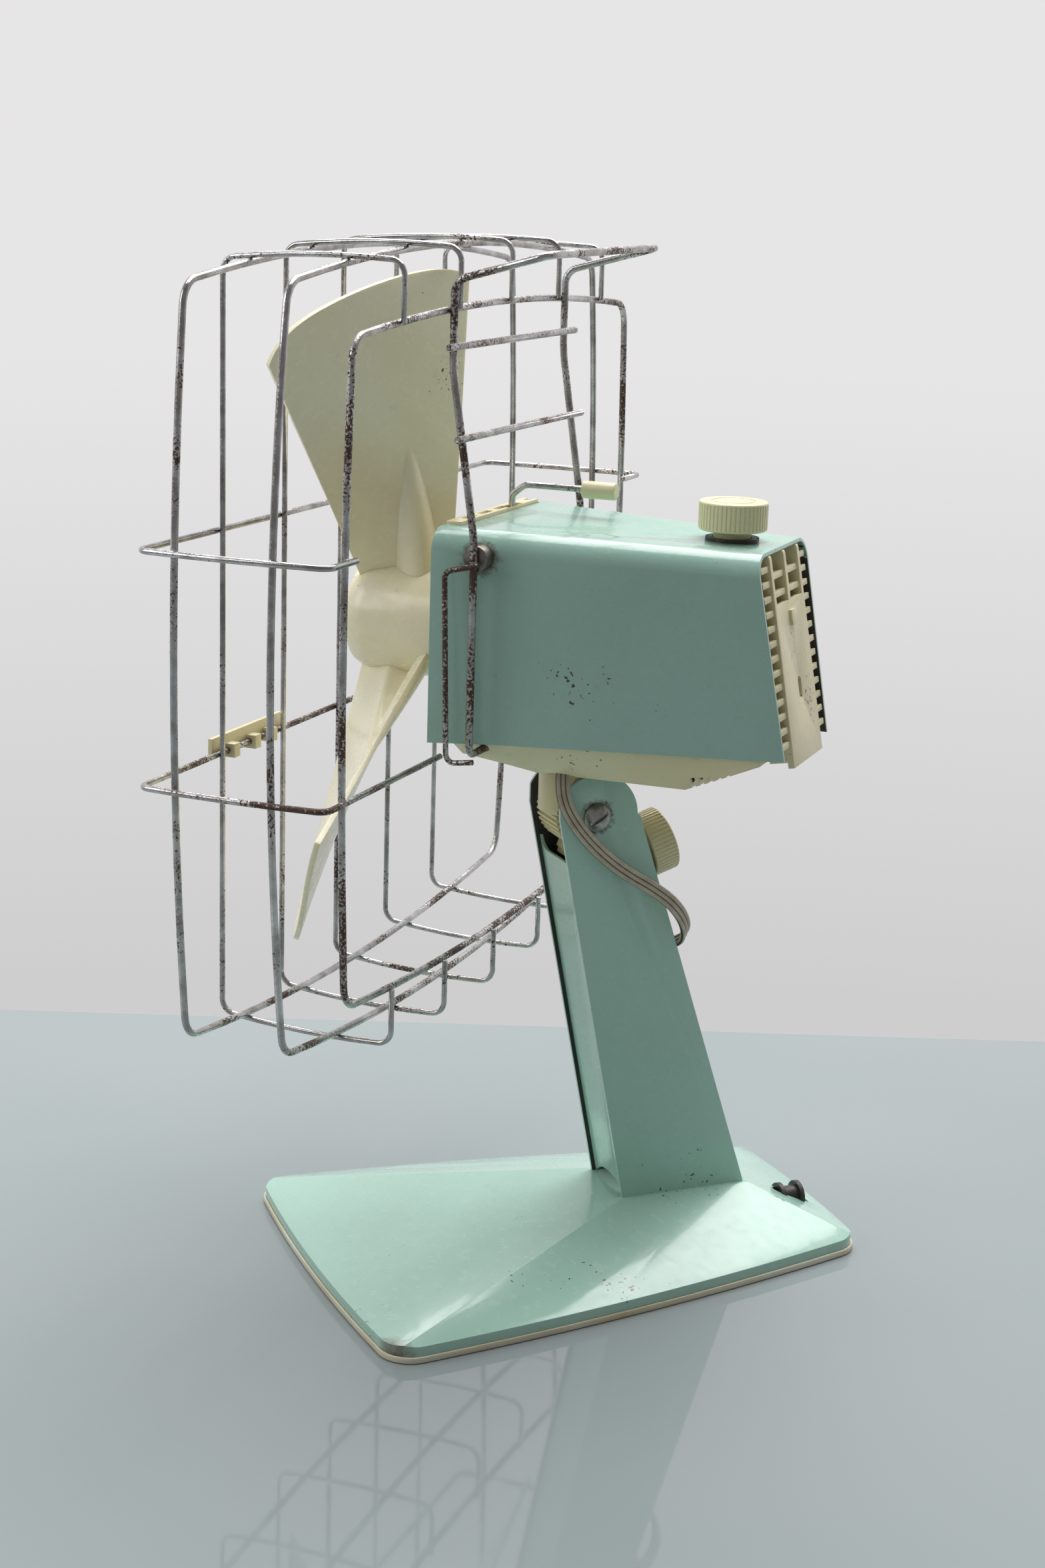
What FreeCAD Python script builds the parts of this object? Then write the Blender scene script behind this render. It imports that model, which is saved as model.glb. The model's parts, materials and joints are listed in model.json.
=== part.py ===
"""Desk fan: pressed steel base and leaning column, tilting and oscillating head, wire guard.

Millimetres. +Z is up and -Y is the side that the air leaves by when the head looks straight ahead.
The origin is the middle of the base's underside. Everything on the head is made in the head's own
frame, whose origin is where the tilt axis meets the swing axis, and is then set on the column.
"""
import FreeCAD, Part
import math
import os
import re

from FreeCAD import Placement, Rotation, Vector

X = Vector(1, 0, 0)
Y = Vector(0, 1, 0)
Z = Vector(0, 0, 1)
ORIGIN = Vector(0, 0, 0)

doc = FreeCAD.newDocument("desk_fan")
sheet = doc.addObject("Spreadsheet::Sheet", "Sizes")

SIZES = {
    # base
    "base_front_half": 76.3, "base_rear_half": 45.4, "base_half_depth": 96.7,
    "base_front_bow": 4.0, "base_side_bow": 4.7, "base_rear_bow": 1.9, "base_corner": 11.0,
    "base_lip": 4.7, "base_top": 19.6, "base_wall": 1.2, "plateau_overlap": 1.5,
    "board_thick": 1.2, "strip_height": 2.2, "strip_proud": 0.8,
    # column
    "column_half": 14.2, "column_wall": 1.2, "column_foot_front": 14.4, "column_foot_rear": 64.4,
    "front_lean": 0.207, "rear_lean": 0.338, "ear_radius": 15.7, "scoop_drop": 17.6,
    "scoop_corner": 5.0, "web_arch": 5.0, "web_setback": 1.6, "foot_plate_thick": 2.0,
    "foot_bolt_bore": 2.6,
    "foot_bolt_radius": 2.5, "foot_bolt_gap": 24.0,
    # tilt axis, neck and its worm
    "tilt_y": -1.7, "tilt_z": 166.1, "pan_rest": -45.0, "pin_radius": 3.0, "pin_bore": 3.05,
    "screw_head": 5.1, "sector_teeth": 50.0, "sector_tip": 18.8, "sector_root": 16.7,
    "sector_width": 18.0, "barrel_tip": 13.4, "barrel_ribs": 40.0, "neck_side_gap": 0.4,
    "turret_radius": 15.5, "turret_low": 16.6,
    "turret_top": 19.2, "collar_radius": 7.3, "collar_top": 24.0, "spindle_bore": 5.05,
    "spindle_radius": 5.0, "worm_distance": 23.4, "worm_core": 3.7, "worm_tip": 5.5,
    "worm_length": 13.0, "worm_shaft": 2.5, "knob_radius": 11.8, "knob_height": 9.9,
    "knob_shank": 6.5, "knob_ribs": 48.0, "knob_bore": 10.5,
    # head shell and what closes it
    "head_front_half": 47.5, "head_bend_half": 42.0, "head_rear_half": 26.6,
    "head_front_y": -39.5, "head_bend_y": -19.0, "head_rear_top_y": 69.0,
    "head_rear_low_y": 81.5, "head_top_front": 103.0, "head_top_rear": 100.0,
    "head_low_front": 29.0, "head_low_rear": 32.0, "head_corner": 8.0, "head_wall": 1.2,
    "frame_plate": 2.4, "lip_half": 35.0, "frame_rim": 4.5, "frame_rise": 1.0,
    "tray_low": 17.3, "tray_wall": 1.8, "tray_opening": 25.0, "fit_gap": 0.3,
    "grille_plate_half": 17.0, "grille_wall": 2.2, "grille_pitch": 4.95, "grille_fin": 2.0,
    # motor and swing gear
    "axis_z": 63.0, "shaft_radius": 3.0, "shaft_bore": 3.05, "stator_half": 28.0,
    "stator_front_y": -24.0, "stator_rear_y": 0.0, "stator_bore": 15.2, "rotor_core": 14.8,
    "bush_radius": 5.0, "bush_length": 6.0, "swing_worm_core": 3.2, "swing_worm_tip": 4.6,
    "swing_lead": 2.2, "swing_teeth": 30.0, "link_anchor": 11.5, "link_lag": 10.0,
    "link_pin": 1.5, "link_bore": 1.55, "link_thick": 1.2,
    # fan
    "fan_radius": 124.5, "fan_hub": 21.0, "hub_rear_y": -43.5, "blade_front_y": -90.0,
    "blade_rear_y": -51.0,
    "blade_start": 53.0, "blade_end": 92.0, "blade_root": 2.8, "blade_tip": 1.8,
    # guard
    "hoop_wire": 2.4, "guard_wire": 1.9, "weld_bite": 0.02, "band_wire": 2.1, "stay_wire": 2.6,
    "wire_pitch": 43.7, "guard_front_y": -97.0, "hoop_front_y": -86.8, "hoop_middle_y": -52.1,
    "hoop_rear_y": -34.6, "upper_band_z": 102.3, "lower_band_z": 26.0, "band_half": 139.6,
    "stay_half": 49.3, "handle_reach": 34.0, "handle_rise": 9.5,
    # flex that runs from the neck to the column
    "flex_dia": 4.0,
}

for row, (alias, number) in enumerate(SIZES.items(), start=1):
    sheet.set("A%d" % row, alias)
    sheet.set("B%d" % row, str(number))
    sheet.setAlias("B%d" % row, alias)
doc.recompute()


class Values:
    """Reads one size from the sheet by its alias."""

    def __getattr__(self, alias):
        return float(sheet.get(alias))


v = Values()
WORDS = re.compile(r"\b(" + "|".join(sorted(SIZES, key=len, reverse=True)) + r")\b")


def bound(thing, **texts):
    """Bind properties to expressions written with the sheet's aliases."""
    for prop, text in texts.items():
        thing.setExpression(prop.replace("__", "."), WORDS.sub(r"Sizes.\1", str(text)))
    return thing


def placed(thing, at, turn=None):
    """Give a primitive its turn, and bind its place."""
    thing.Placement = Placement(ORIGIN, turn or Rotation())
    for axis, text in zip("xyz", at):
        bound(thing, **{"Placement__Base__" + axis: text})
    return thing


TURNS = {"x": Rotation(Y, 90), "y": Rotation(X, -90), "z": Rotation()}


def cylinder(radius, height, at=(0, 0, 0), along="z"):
    c = bound(doc.addObject("Part::Cylinder", "cylinder"), Radius=radius, Height=height)
    return placed(c, at, TURNS[along])


def cone(low, high, height, at=(0, 0, 0), along="z"):
    c = bound(doc.addObject("Part::Cone", "cone"), Radius1=low, Radius2=high, Height=height)
    return placed(c, at, TURNS[along])


def box(size, middle):
    """A box of that size about its middle."""
    b = bound(doc.addObject("Part::Box", "box"), Length=size[0], Width=size[1], Height=size[2])
    return placed(b, ["(%s) - (%s) / 2" % pair for pair in zip(middle, size)])


def fuse(*things):
    f = doc.addObject("Part::MultiFuse", "fuse")
    f.Shapes = list(things)
    return f


def cut(base, *tools):
    c = doc.addObject("Part::Cut", "cut")
    c.Base = base
    c.Tool = tools[0] if len(tools) == 1 else fuse(*tools)
    return c


def made(shape):
    """A feature that holds a shape made with Part's own functions."""
    f = doc.addObject("Part::Feature", "shape")
    f.Shape = shape
    return f


NODES = {}


def node(name, thing, frame="row"):
    """Name one sub-part and set it in its frame: the row's, the neck's or the head's."""
    part = doc.addObject("Part::Compound", name)
    part.Label = name
    part.Links = [thing]
    if frame != "row":
        part.Placement = Placement(ORIGIN, Rotation(Z, 1.0))
        bound(part, Placement__Base__y="tilt_y", Placement__Base__z="tilt_z")
        angle = "pan_rest" if frame == "head" else "0"
        bound(part, Placement__Rotation__Angle=angle)
    NODES[name] = part
    return part


# ---------------------------------------------------------------- lines, rods and outlines

def arc(a, middle, b):
    return Part.Arc(a, middle, b).toShape()


def bent_line(points, radius):
    """Straight runs joined by tangent arcs. radius is one number, or one for each inner point."""
    inner = len(points) - 2
    radii = [radius] * inner if not isinstance(radius, list) else radius
    edges = []
    start = points[0]
    for i in range(1, len(points) - 1):
        before = (points[i - 1] - points[i]).normalize()
        after = (points[i + 1] - points[i]).normalize()
        half = before.getAngle(after) / 2
        reach = radii[i - 1] / math.tan(half)
        middle = (before + after).normalize()
        centre = points[i] + middle * (radii[i - 1] / math.sin(half))
        enter = points[i] + before * reach
        leave = points[i] + after * reach
        edges.append(Part.LineSegment(start, enter).toShape())
        edges.append(arc(enter, centre - middle * radii[i - 1], leave))
        start = leave
    edges.append(Part.LineSegment(start, points[-1]).toShape())
    return edges


def rod(edges, diameter):
    """A round rod along lines and arcs that meet smoothly: one exact solid for each, joined."""
    pieces = []
    for edge in edges:
        start = edge.valueAt(edge.FirstParameter)
        heading = edge.tangentAt(edge.FirstParameter)
        disc = Part.Face(Part.Wire(Part.makeCircle(diameter / 2, start, heading)))
        if isinstance(edge.Curve, Part.Circle):
            turn = edge.LastParameter - edge.FirstParameter
            axis = edge.Curve.Axis
            if (start - edge.Curve.Center).cross(heading).dot(axis) < 0:
                axis = -axis
            pieces.append(disc.revolve(edge.Curve.Center, axis, math.degrees(turn)))
        else:
            end = edge.valueAt(edge.LastParameter)
            pieces.append(disc.extrude(end - start))
    solid = pieces[0].fuse(pieces[1:])
    return Part.Solid(solid.Shells[0]) if solid.ShapeType != "Solid" else solid


def circle_through(width, sag):
    """Radius of an arc that drops by sag at width from its top."""
    return (width ** 2 + sag ** 2) / (2 * sag)


def corner_between(top_radius, top_centre, side_radius, side_centre, corner):
    """Centre of a corner circle inside a top arc and a side arc, and where it meets each."""
    reach_a = top_radius - corner
    reach_b = side_radius - corner
    gap = side_centre - top_centre
    length = gap.Length
    along = (reach_a ** 2 - reach_b ** 2 + length ** 2) / (2 * length)
    across = math.sqrt(reach_a ** 2 - along ** 2)
    unit = gap / length
    normal = Vector(-unit.z, 0, unit.x)
    picks = [top_centre + unit * along + normal * across, top_centre + unit * along - normal * across]
    centre = max(picks, key=lambda p: p.x + p.z)
    on_top = top_centre + (centre - top_centre).normalize() * top_radius
    on_side = side_centre + (centre - side_centre).normalize() * side_radius
    return centre, on_top, on_side


def crowned_frame(half_width, half_height, side_bulge, top_rise, corner):
    """Edges of a closed frame in the XZ plane with crowned sides and round corners."""
    wide = half_width - side_bulge
    tall = half_height - top_rise
    top_radius = circle_through(wide, top_rise)
    side_radius = circle_through(tall, side_bulge)
    top_centre = Vector(0, 0, half_height - top_radius)
    side_centre = Vector(half_width - side_radius, 0, 0)
    centre, on_top, on_side = corner_between(top_radius, top_centre, side_radius, side_centre, corner)
    middle = centre + (on_top + on_side - centre * 2).normalize() * corner

    def at(p, sx, sz):
        return Vector(p.x * sx, 0, p.z * sz)

    edges = []
    for sx, sz in ((1, 1), (1, -1), (-1, -1), (-1, 1)):
        ends = (on_top, on_side) if sx == sz else (on_side, on_top)
        edges.append(arc(at(ends[0], sx, sz), at(middle, sx, sz), at(ends[1], sx, sz)))
        if sx == sz:
            edges.append(arc(at(on_side, sx, sz), Vector(half_width * sx, 0, 0), at(on_side, sx, -sz)))
        else:
            top = Vector(0, 0, half_height * sz)
            edges.append(arc(at(on_top, sx, sz), top, at(on_top, -sx, sz)))
    return edges


def moved(edges, by):
    out = []
    for edge in edges:
        copy = edge.copy()
        copy.translate(by)
        out.append(copy)
    return out


def polygon_face(points):
    return Part.Face(Part.makePolygon(list(points) + [points[0]]))


def prism(points, direction):
    return polygon_face(points).extrude(direction)


def side_prism(profile, half_width):
    """A profile of (y, z) points drawn out along X to both sides."""
    points = [Vector(-half_width, y, z) for y, z in profile]
    return prism(points, Vector(2 * half_width, 0, 0))


def toothed(teeth, tip, root, first, last, tip_share, root_share, depth_axis, width):
    """A toothed disc or sector in the plane across depth_axis, with teeth from first to last."""
    pitch = 360.0 / teeth
    points = []

    def add(radius, degrees):
        a = math.radians(degrees)
        if depth_axis == "x":
            points.append(Vector(0, radius * math.cos(a), radius * math.sin(a)))
        else:
            points.append(Vector(radius * math.cos(a), radius * math.sin(a), 0))

    angle = first
    while angle < last - 0.5 * pitch:
        add(root, angle - root_share * pitch / 2)
        add(tip, angle - tip_share * pitch / 2)
        add(tip, angle + tip_share * pitch / 2)
        add(root, angle + root_share * pitch / 2)
        angle += pitch
    while angle < first + 360 - 0.5 * pitch:
        add(root, angle)
        angle += pitch
    axis = X if depth_axis == "x" else Z
    solid = prism(points, axis * width)
    solid.translate(axis * (-width / 2))
    return solid


def worm(core, tip, lead, length, base_share, tip_share):
    """A right-hand single-start worm along +Z about its middle, its thread on the -Y side there."""
    turns_length = length - 2 * lead
    helix = Part.makeHelix(lead, turns_length, core)
    inside = core - 0.25
    half_base = lead * base_share / 2
    half_tip = lead * tip_share / 2
    profile = Part.makePolygon([
        Vector(inside, 0, -half_base), Vector(tip, 0, -half_tip),
        Vector(tip, 0, half_tip), Vector(inside, 0, half_base), Vector(inside, 0, -half_base)])
    thread = Part.Wire(helix.Edges).makePipeShell([profile], True, True)
    if thread.Volume < 0:
        thread.reverse()
    thread.translate(Vector(0, 0, -turns_length / 2))
    thread.rotate(ORIGIN, Z, -90 - 180 * turns_length / lead)
    body = Part.makeCylinder(core, length, Vector(0, 0, -length / 2))
    return body.fuse(thread)


def knurled_knob(radius, height, shank, ribs):
    """A fluted knob on its shank, standing on the XY plane, with a shallow ring on its face."""
    low = 3.2
    body = Part.makeCylinder(radius, height, Vector(0, 0, low))
    rim = [e for e in body.Edges if isinstance(e.Curve, Part.Circle)]
    body = body.makeFillet(0.8, rim)
    flutes = []
    for i in range(int(ribs)):
        flute = Part.makeCylinder(0.42, height - 1.6, Vector(radius + 0.12, 0, low + 0.8))
        flute.rotate(ORIGIN, Z, i * 360.0 / ribs)
        flutes.append(flute)
    body = body.cut(flutes)
    ring = Part.makeTorus(radius * 0.62, 0.5, Vector(0, 0, low + height))
    bore = Part.makeCylinder(v.worm_shaft, v.knob_bore, ORIGIN)
    return body.cut(ring).fuse(Part.makeCylinder(shank, low + 1)).cut(bore)


# ---------------------------------------------------------------- base

def base_outline(inset, z):
    """Four bowed edges of the base's plan, drawn in by inset, at height z."""
    front = v.base_front_half - inset
    rear = v.base_rear_half - inset
    deep = v.base_half_depth - inset
    corners = [Vector(-front, -deep, z), Vector(front, -deep, z), Vector(rear, deep, z),
               Vector(-rear, deep, z)]
    side = (front + rear) / 2 + v.base_side_bow
    middles = [Vector(0, -deep - v.base_front_bow, z), Vector(side, 0, z),
               Vector(0, deep + v.base_rear_bow, z), Vector(-side, 0, z)]
    return [arc(corners[i], middles[i], corners[(i + 1) % 4]) for i in range(4)]


def rounded_plan(inset, low, high):
    """The base's plan as a block from low to high with its four corners rounded."""
    block = Part.Face(Part.Wire(base_outline(inset, low))).extrude(Vector(0, 0, high - low))
    upright = [e for e in block.Edges if isinstance(e.Curve, Part.Line)]
    return block.makeFillet(v.base_corner - inset, upright)


def hipped_block(inset, drop, low):
    """The base's solid outline: an upright lip and four slopes up to the column's foot."""
    lip = v.strip_height - 1.2 + v.base_lip - drop
    top = v.base_top - drop
    half = v.column_half + v.plateau_overlap - inset
    front = v.column_foot_front - v.plateau_overlap + inset
    rear = v.column_foot_rear + v.plateau_overlap - inset
    corners = [Vector(-half, front, top), Vector(half, front, top), Vector(half, rear, top),
               Vector(-half, rear, top)]
    plateau = Part.makePolygon(corners + [corners[0]])
    rim = Part.Wire(base_outline(inset, lip))
    slopes = Part.makeLoft([rim, plateau], True, True)
    skirt = Part.Face(Part.Wire(base_outline(inset, low))).extrude(Vector(0, 0, lip - low))
    return skirt.fuse(slopes).common(rounded_plan(inset, low, top + 1))


def foot_bolt_places():
    middle = (v.column_foot_front + v.column_foot_rear) / 2
    return [Vector(0, middle + s * v.foot_bolt_gap / 2, v.base_top) for s in (-1, 1)]


def base_shell():
    rest = v.board_thick + 0.1
    shell = hipped_block(0, 0, rest).cut(hipped_block(v.base_wall, v.base_wall, rest - 1))
    holes = [Part.makeCylinder(v.foot_bolt_bore, 20, p - Z * 10) for p in foot_bolt_places()]
    return shell.cut(holes + [grommet_seat()]).removeSplitter()


def grommet_place():
    return Vector(14.0, v.base_half_depth - 17.0, 10.5)


def grommet_seat():
    return Part.makeCylinder(4.0, 16, grommet_place() - Y * 4, Y)


def mains_grommet():
    """Rubber grommet in the rear slope that the mains lead goes out through."""
    place = grommet_place()
    sleeve = Part.makeCylinder(4.0, 9, place, Y)
    collar = Part.makeCylinder(5.6, 1.6, place + Y * 7.4, Y)
    inner = Part.makeCylinder(5.6, 1.6, place, Y)
    ring = sleeve.fuse([collar, inner]).cut(Part.makeCylinder(2.4, 30, place - Y * 5, Y))
    metal = hipped_block(0, 0, 1.3).cut(hipped_block(v.base_wall, v.base_wall, 0.3)).cut(grommet_seat())
    ring = ring.cut(metal)
    return max(ring.Solids, key=lambda solid: solid.Volume)


def edge_strip():
    outer = rounded_plan(-v.strip_proud, 0, v.strip_height)
    inner = rounded_plan(v.base_wall + v.strip_proud, -1, v.strip_height + 1)
    board = rounded_plan(v.base_wall, -1, v.board_thick)
    seat = rounded_plan(0, v.board_thick, v.strip_height + 1)
    return outer.cut([inner, board, seat])


node("base_shell", made(base_shell()))
node("base_edge_strip", made(edge_strip()))
node("mains_grommet", made(mains_grommet()))
node("base_board", made(rounded_plan(v.base_wall + v.fit_gap / 2, 0, v.board_thick)))


# ---------------------------------------------------------------- column

def column_side():
    """Side view of the column as (y, z) points and the ear that tops it."""
    rise = v.tilt_z - v.base_top
    return [(v.column_foot_front, v.base_top), (v.column_foot_front - v.front_lean * rise, v.tilt_z),
            (v.column_foot_rear - v.rear_lean * rise, v.tilt_z), (v.column_foot_rear, v.base_top)]


def column():
    half = v.column_half
    wall = v.column_wall
    profile = column_side()
    blank = side_prism(profile, half)
    ear = Part.makeCylinder(v.ear_radius, 2 * half, Vector(-half, v.tilt_y, v.tilt_z), X)
    trim = side_prism([(profile[1][0], v.tilt_z), (profile[1][0], v.tilt_z + 30),
                       (profile[2][0], v.tilt_z + 30), (profile[2][0], v.tilt_z)], half)
    blank = blank.fuse(ear.common(trim)).removeSplitter()
    web = wall * math.sqrt(1 + v.front_lean ** 2)
    foot, shoulder = profile[0], profile[1]
    back = web + v.web_setback
    hollow = side_prism([(foot[0] + back + v.front_lean * 10, foot[1] - 10),
                         (shoulder[0] + back - v.front_lean * 30, shoulder[1] + 30),
                         (90, shoulder[1] + 30), (90, foot[1] - 10)], half - wall)
    channel = side_prism([(foot[0] - 10, foot[1] - 10), (shoulder[0] - 20, shoulder[1] + 30),
                          (shoulder[0] + v.web_setback - v.front_lean * 30, shoulder[1] + 30),
                          (foot[0] + v.web_setback + v.front_lean * 10, foot[1] - 10)], half - wall)
    scoop = Part.makeBox(2 * (half - wall), 60, 60,
                         Vector(wall - half, shoulder[0] - 20, v.tilt_z - v.scoop_drop))
    low = [e for e in scoop.Edges if abs(e.CenterOfMass.z - (v.tilt_z - v.scoop_drop)) < 0.01
           and abs(e.tangentAt(e.FirstParameter).y) > 0.9]
    scoop = scoop.makeFillet(v.scoop_corner, low)
    span = half - wall
    bow = circle_through(span, v.web_arch)
    arch = Part.makeCylinder(bow, 20, Vector(0, foot[0] - 10, v.base_top + v.web_arch - bow), Y)
    pin = Part.makeCylinder(v.pin_bore, 4 * half, Vector(-2 * half, v.tilt_y, v.tilt_z), X)
    return blank.cut([hollow, channel, scoop, arch, pin])


node("column", made(column()))

foot_depth = "column_foot_rear - column_foot_front - 14"
foot_middle = "(column_foot_front + column_foot_rear) / 2"
inside_half = "(column_half - column_wall)"
plate = box(("2 * %s - 0.2" % inside_half, foot_depth, "foot_plate_thick"),
            ("0", foot_middle, "base_top + foot_plate_thick / 2"))
holes = [cylinder("foot_bolt_bore", "foot_plate_thick + 2",
                  ("0", "%s + (%d) * foot_bolt_gap / 2" % (foot_middle, s), "base_top - 1")) for s in (-1,
                                                                                                       1)]
node("foot_plate", cut(plate, *holes))


def hex_bolt(place, radius, grip, head):
    """A hexagon bolt from below with its nut on top, as one fastened piece."""
    across = radius * 1.95
    points = [Vector(across * math.cos(math.radians(60 * i)), across * math.sin(math.radians(60 * i)), 0)
              for i in range(6)]
    low = prism(points, Z * head)
    low.translate(Vector(0, 0, -head))
    high = prism(points, Z * head)
    high.translate(Vector(0, 0, grip))
    bolt = low.fuse([Part.makeCylinder(radius, grip + head + 1.5), high])
    bolt.translate(place)
    return bolt


bolts = [hex_bolt(p - Z * v.base_wall, v.foot_bolt_radius, v.base_wall + v.foot_plate_thick, 3.2)
         for p in foot_bolt_places()]
node("foot_bolts", made(Part.makeCompound(bolts)))


def tilt_screw():
    """Slotted round-head screw through both ears, from the +X side."""
    half = v.column_half
    shank = Part.makeCylinder(v.pin_radius, 2 * half + 5, Vector(-half - 5, 0, 0), X)
    ball = v.screw_head * 1.25
    rise = 3.1
    head = Part.makeSphere(ball, Vector(half + rise - ball, 0, 0))
    head = head.common(Part.makeCylinder(v.screw_head, rise, Vector(half, 0, 0), X))
    slot = Part.makeBox(2, 20, 1.3, Vector(half + rise - 1.4, -10, -0.65))
    slot.rotate(ORIGIN, X, 33)
    screw = shank.fuse(head).cut(slot)
    screw.translate(Vector(0, v.tilt_y, v.tilt_z))
    return screw


def tilt_nut():
    points = [Vector(-v.column_half, 5.2 * math.cos(math.radians(60 * i)),
                     5.2 * math.sin(math.radians(60 * i)))
              for i in range(6)]
    nut = prism(points, Vector(-3.6, 0, 0))
    nut = nut.cut(Part.makeCylinder(v.pin_radius, 8, Vector(-v.column_half - 6, 0, 0), X))
    nut.translate(Vector(0, v.tilt_y, v.tilt_z))
    return nut


node("tilt_screw", made(tilt_screw()))
node("tilt_nut", made(tilt_nut()))

# ---------------------------------------------------------------- neck and its worm drive

lean = math.atan(v.rear_lean)
worm_heading = Vector(0, math.cos(lean), math.sin(lean))
worm_down = Vector(0, math.sin(lean), -math.cos(lean))
worm_lead = 2 * math.pi * (v.sector_tip - 0.45) / v.sector_teeth
worm_middle = Vector(0, v.tilt_y, v.tilt_z) + worm_down * v.worm_distance


def neck():
    """Moulded neck: toothed sector about the tilt pin, hub, and the turret the head turns on."""
    pitch = 360.0 / v.sector_teeth
    mesh = math.degrees(math.atan2(worm_down.z, worm_down.y))
    first = mesh - 4.5 * pitch
    sector = toothed(v.sector_teeth, v.sector_tip, v.sector_root, first, first + 9 * pitch,
                     0.30, 0.52, "x", v.sector_width)
    ends = [math.radians(first + share * pitch) for share in (-0.6, 4.0, 8.6)]
    wedge = side_prism([(0, 0)] + [(40 * math.cos(a), 40 * math.sin(a)) for a in ends], v.sector_width)
    sector = sector.common(wedge)
    ribbed = toothed(v.barrel_ribs, v.barrel_tip, v.barrel_tip - 1.2, 157.5, 157.5 + 99.0, 0.40, 0.52,
                     "x",
                     v.sector_width)
    inner = v.column_half - v.column_wall - v.neck_side_gap
    hub = Part.makeCylinder(8, 2 * inner, Vector(-inner, 0, 0), X)
    post = Part.makeCylinder(v.turret_radius, v.turret_low, ORIGIN)
    slab = Part.makeBox(2 * inner, 2 * v.turret_radius, v.turret_low, Vector(-inner, -v.turret_radius, 0))
    post = post.common(slab).cut(Part.makeBox(80, 3 * v.turret_radius, 10, Vector(-40, 0, 0)))
    turret = Part.makeCylinder(v.turret_radius, v.turret_top - v.turret_low, Vector(0, 0, v.turret_low))
    collar = Part.makeCylinder(v.collar_radius, v.collar_top - v.turret_low, Vector(0, 0, v.turret_low))
    pin = Part.makeCylinder(v.link_pin, 4.5, anchor - Z * 2.5)
    body = sector.fuse([ribbed, hub, post, turret, collar, pin])
    body = body.cut([Part.makeCylinder(v.pin_bore, 80, Vector(-40, 0, 0), X),
                     Part.makeCylinder(v.spindle_bore, 20, Vector(0, 0, 10)),
                     Part.makeBox(18, 60, 4, Vector(-9, -9, 9.5))])
    return body.removeSplitter()


# the crank stands behind the swing axis on the head; its link is pinned to the turret's top
swing_pitch_radius = v.swing_lead * v.swing_teeth / (2 * math.pi)
wheel_x = swing_pitch_radius + v.swing_worm_tip - 0.45
wheel_y = 23.0
crank_reach = math.hypot(wheel_x, wheel_y)
crank_bearing = math.atan2(wheel_y, wheel_x) + math.radians(v.pan_rest)
anchor_bearing = crank_bearing - math.radians(v.link_lag)
anchor = Vector(v.link_anchor * math.cos(anchor_bearing), v.link_anchor * math.sin(anchor_bearing),
                v.turret_top)
crank_at_rest = Vector(crank_reach * math.cos(crank_bearing), crank_reach * math.sin(crank_bearing),
                       v.turret_top)
near_gap = (crank_at_rest - anchor).Length
far_angle = math.radians(v.link_lag + 90)
far_gap = math.sqrt(crank_reach ** 2 + v.link_anchor ** 2 - 2 * crank_reach * v.link_anchor
                    * math.cos(far_angle))
link_length = (near_gap + far_gap) / 2
crank_radius = (far_gap - near_gap) / 2
link_bearing = math.atan2(crank_at_rest.y - anchor.y, crank_at_rest.x - anchor.x)
print("swing: crank radius", round(crank_radius, 3), "link", round(link_length, 3),
      "anchor bearing", round(math.degrees(anchor_bearing), 2), "link bearing",
      round(math.degrees(link_bearing), 2))

node("neck", made(neck()), "neck")

shaft_front = 11.0
knob_start = 14.5


def along_worm(shape, distance=0.0):
    """Turn a shape made along +Z about the origin onto the tilt worm's axis."""
    shape.rotate(ORIGIN, X, -(90 - math.degrees(lean)))
    shape.translate(worm_middle + worm_heading * distance)
    return shape


tilt_worm = worm(v.worm_core, v.worm_tip, worm_lead, v.worm_length, 0.46, 0.28)
tilt_worm = tilt_worm.fuse(Part.makeCylinder(v.worm_shaft, shaft_front + knob_start + v.knob_bore,
                                             Vector(0, 0, -shaft_front)))
node("tilt_worm", made(along_worm(tilt_worm)))
node("tilt_knob", made(along_worm(knurled_knob(v.knob_radius, v.knob_height, v.knob_shank - 1.5,
                                               v.knob_ribs), knob_start)))


def worm_bracket():
    """Steel yoke between the column's sides that carries the worm at both ends."""
    inner = v.column_half - v.column_wall
    cheeks = []
    for start in (-v.worm_length / 2 - 4.3, v.worm_length / 2 + 0.3):
        cheek = Part.makeBox(2 * inner, 12.3, 4, Vector(-inner, -4.8, start))
        cheeks.append(cheek.cut(Part.makeCylinder(v.worm_shaft + 0.05, 8, Vector(0, 0, start - 2))))
    back = Part.makeBox(2 * inner, 1.6, v.worm_length + 8.6,
                        Vector(-inner, 5.9, -v.worm_length / 2 - 4.3))
    yoke = cheeks[0].fuse([cheeks[1], back])
    return along_worm(yoke)


node("worm_bracket", made(worm_bracket()))

# ---------------------------------------------------------------- head shell

def head_section(y, half, top, low, inset):
    """Upside-down U outline of the shell at one y, as a closed wire."""
    w = half - inset
    h = top - inset
    r = v.head_corner - inset
    floor = low if inset == 0 else low - 5
    k = r * (1 - math.sqrt(0.5))
    points = [Vector(-w, y, floor), Vector(-w, y, h - r), Vector(-w + r, y, h), Vector(w - r, y, h),
              Vector(w, y, h - r), Vector(w, y, floor)]
    edges = [Part.LineSegment(points[0], points[1]).toShape(),
             arc(points[1], Vector(-w + k, y, h - k), points[2]),
             Part.LineSegment(points[2], points[3]).toShape(),
             arc(points[3], Vector(w - k, y, h - k), points[4]),
             Part.LineSegment(points[4], points[5]).toShape(),
             Part.LineSegment(points[5], points[0]).toShape()]
    return Part.Wire(edges)


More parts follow.
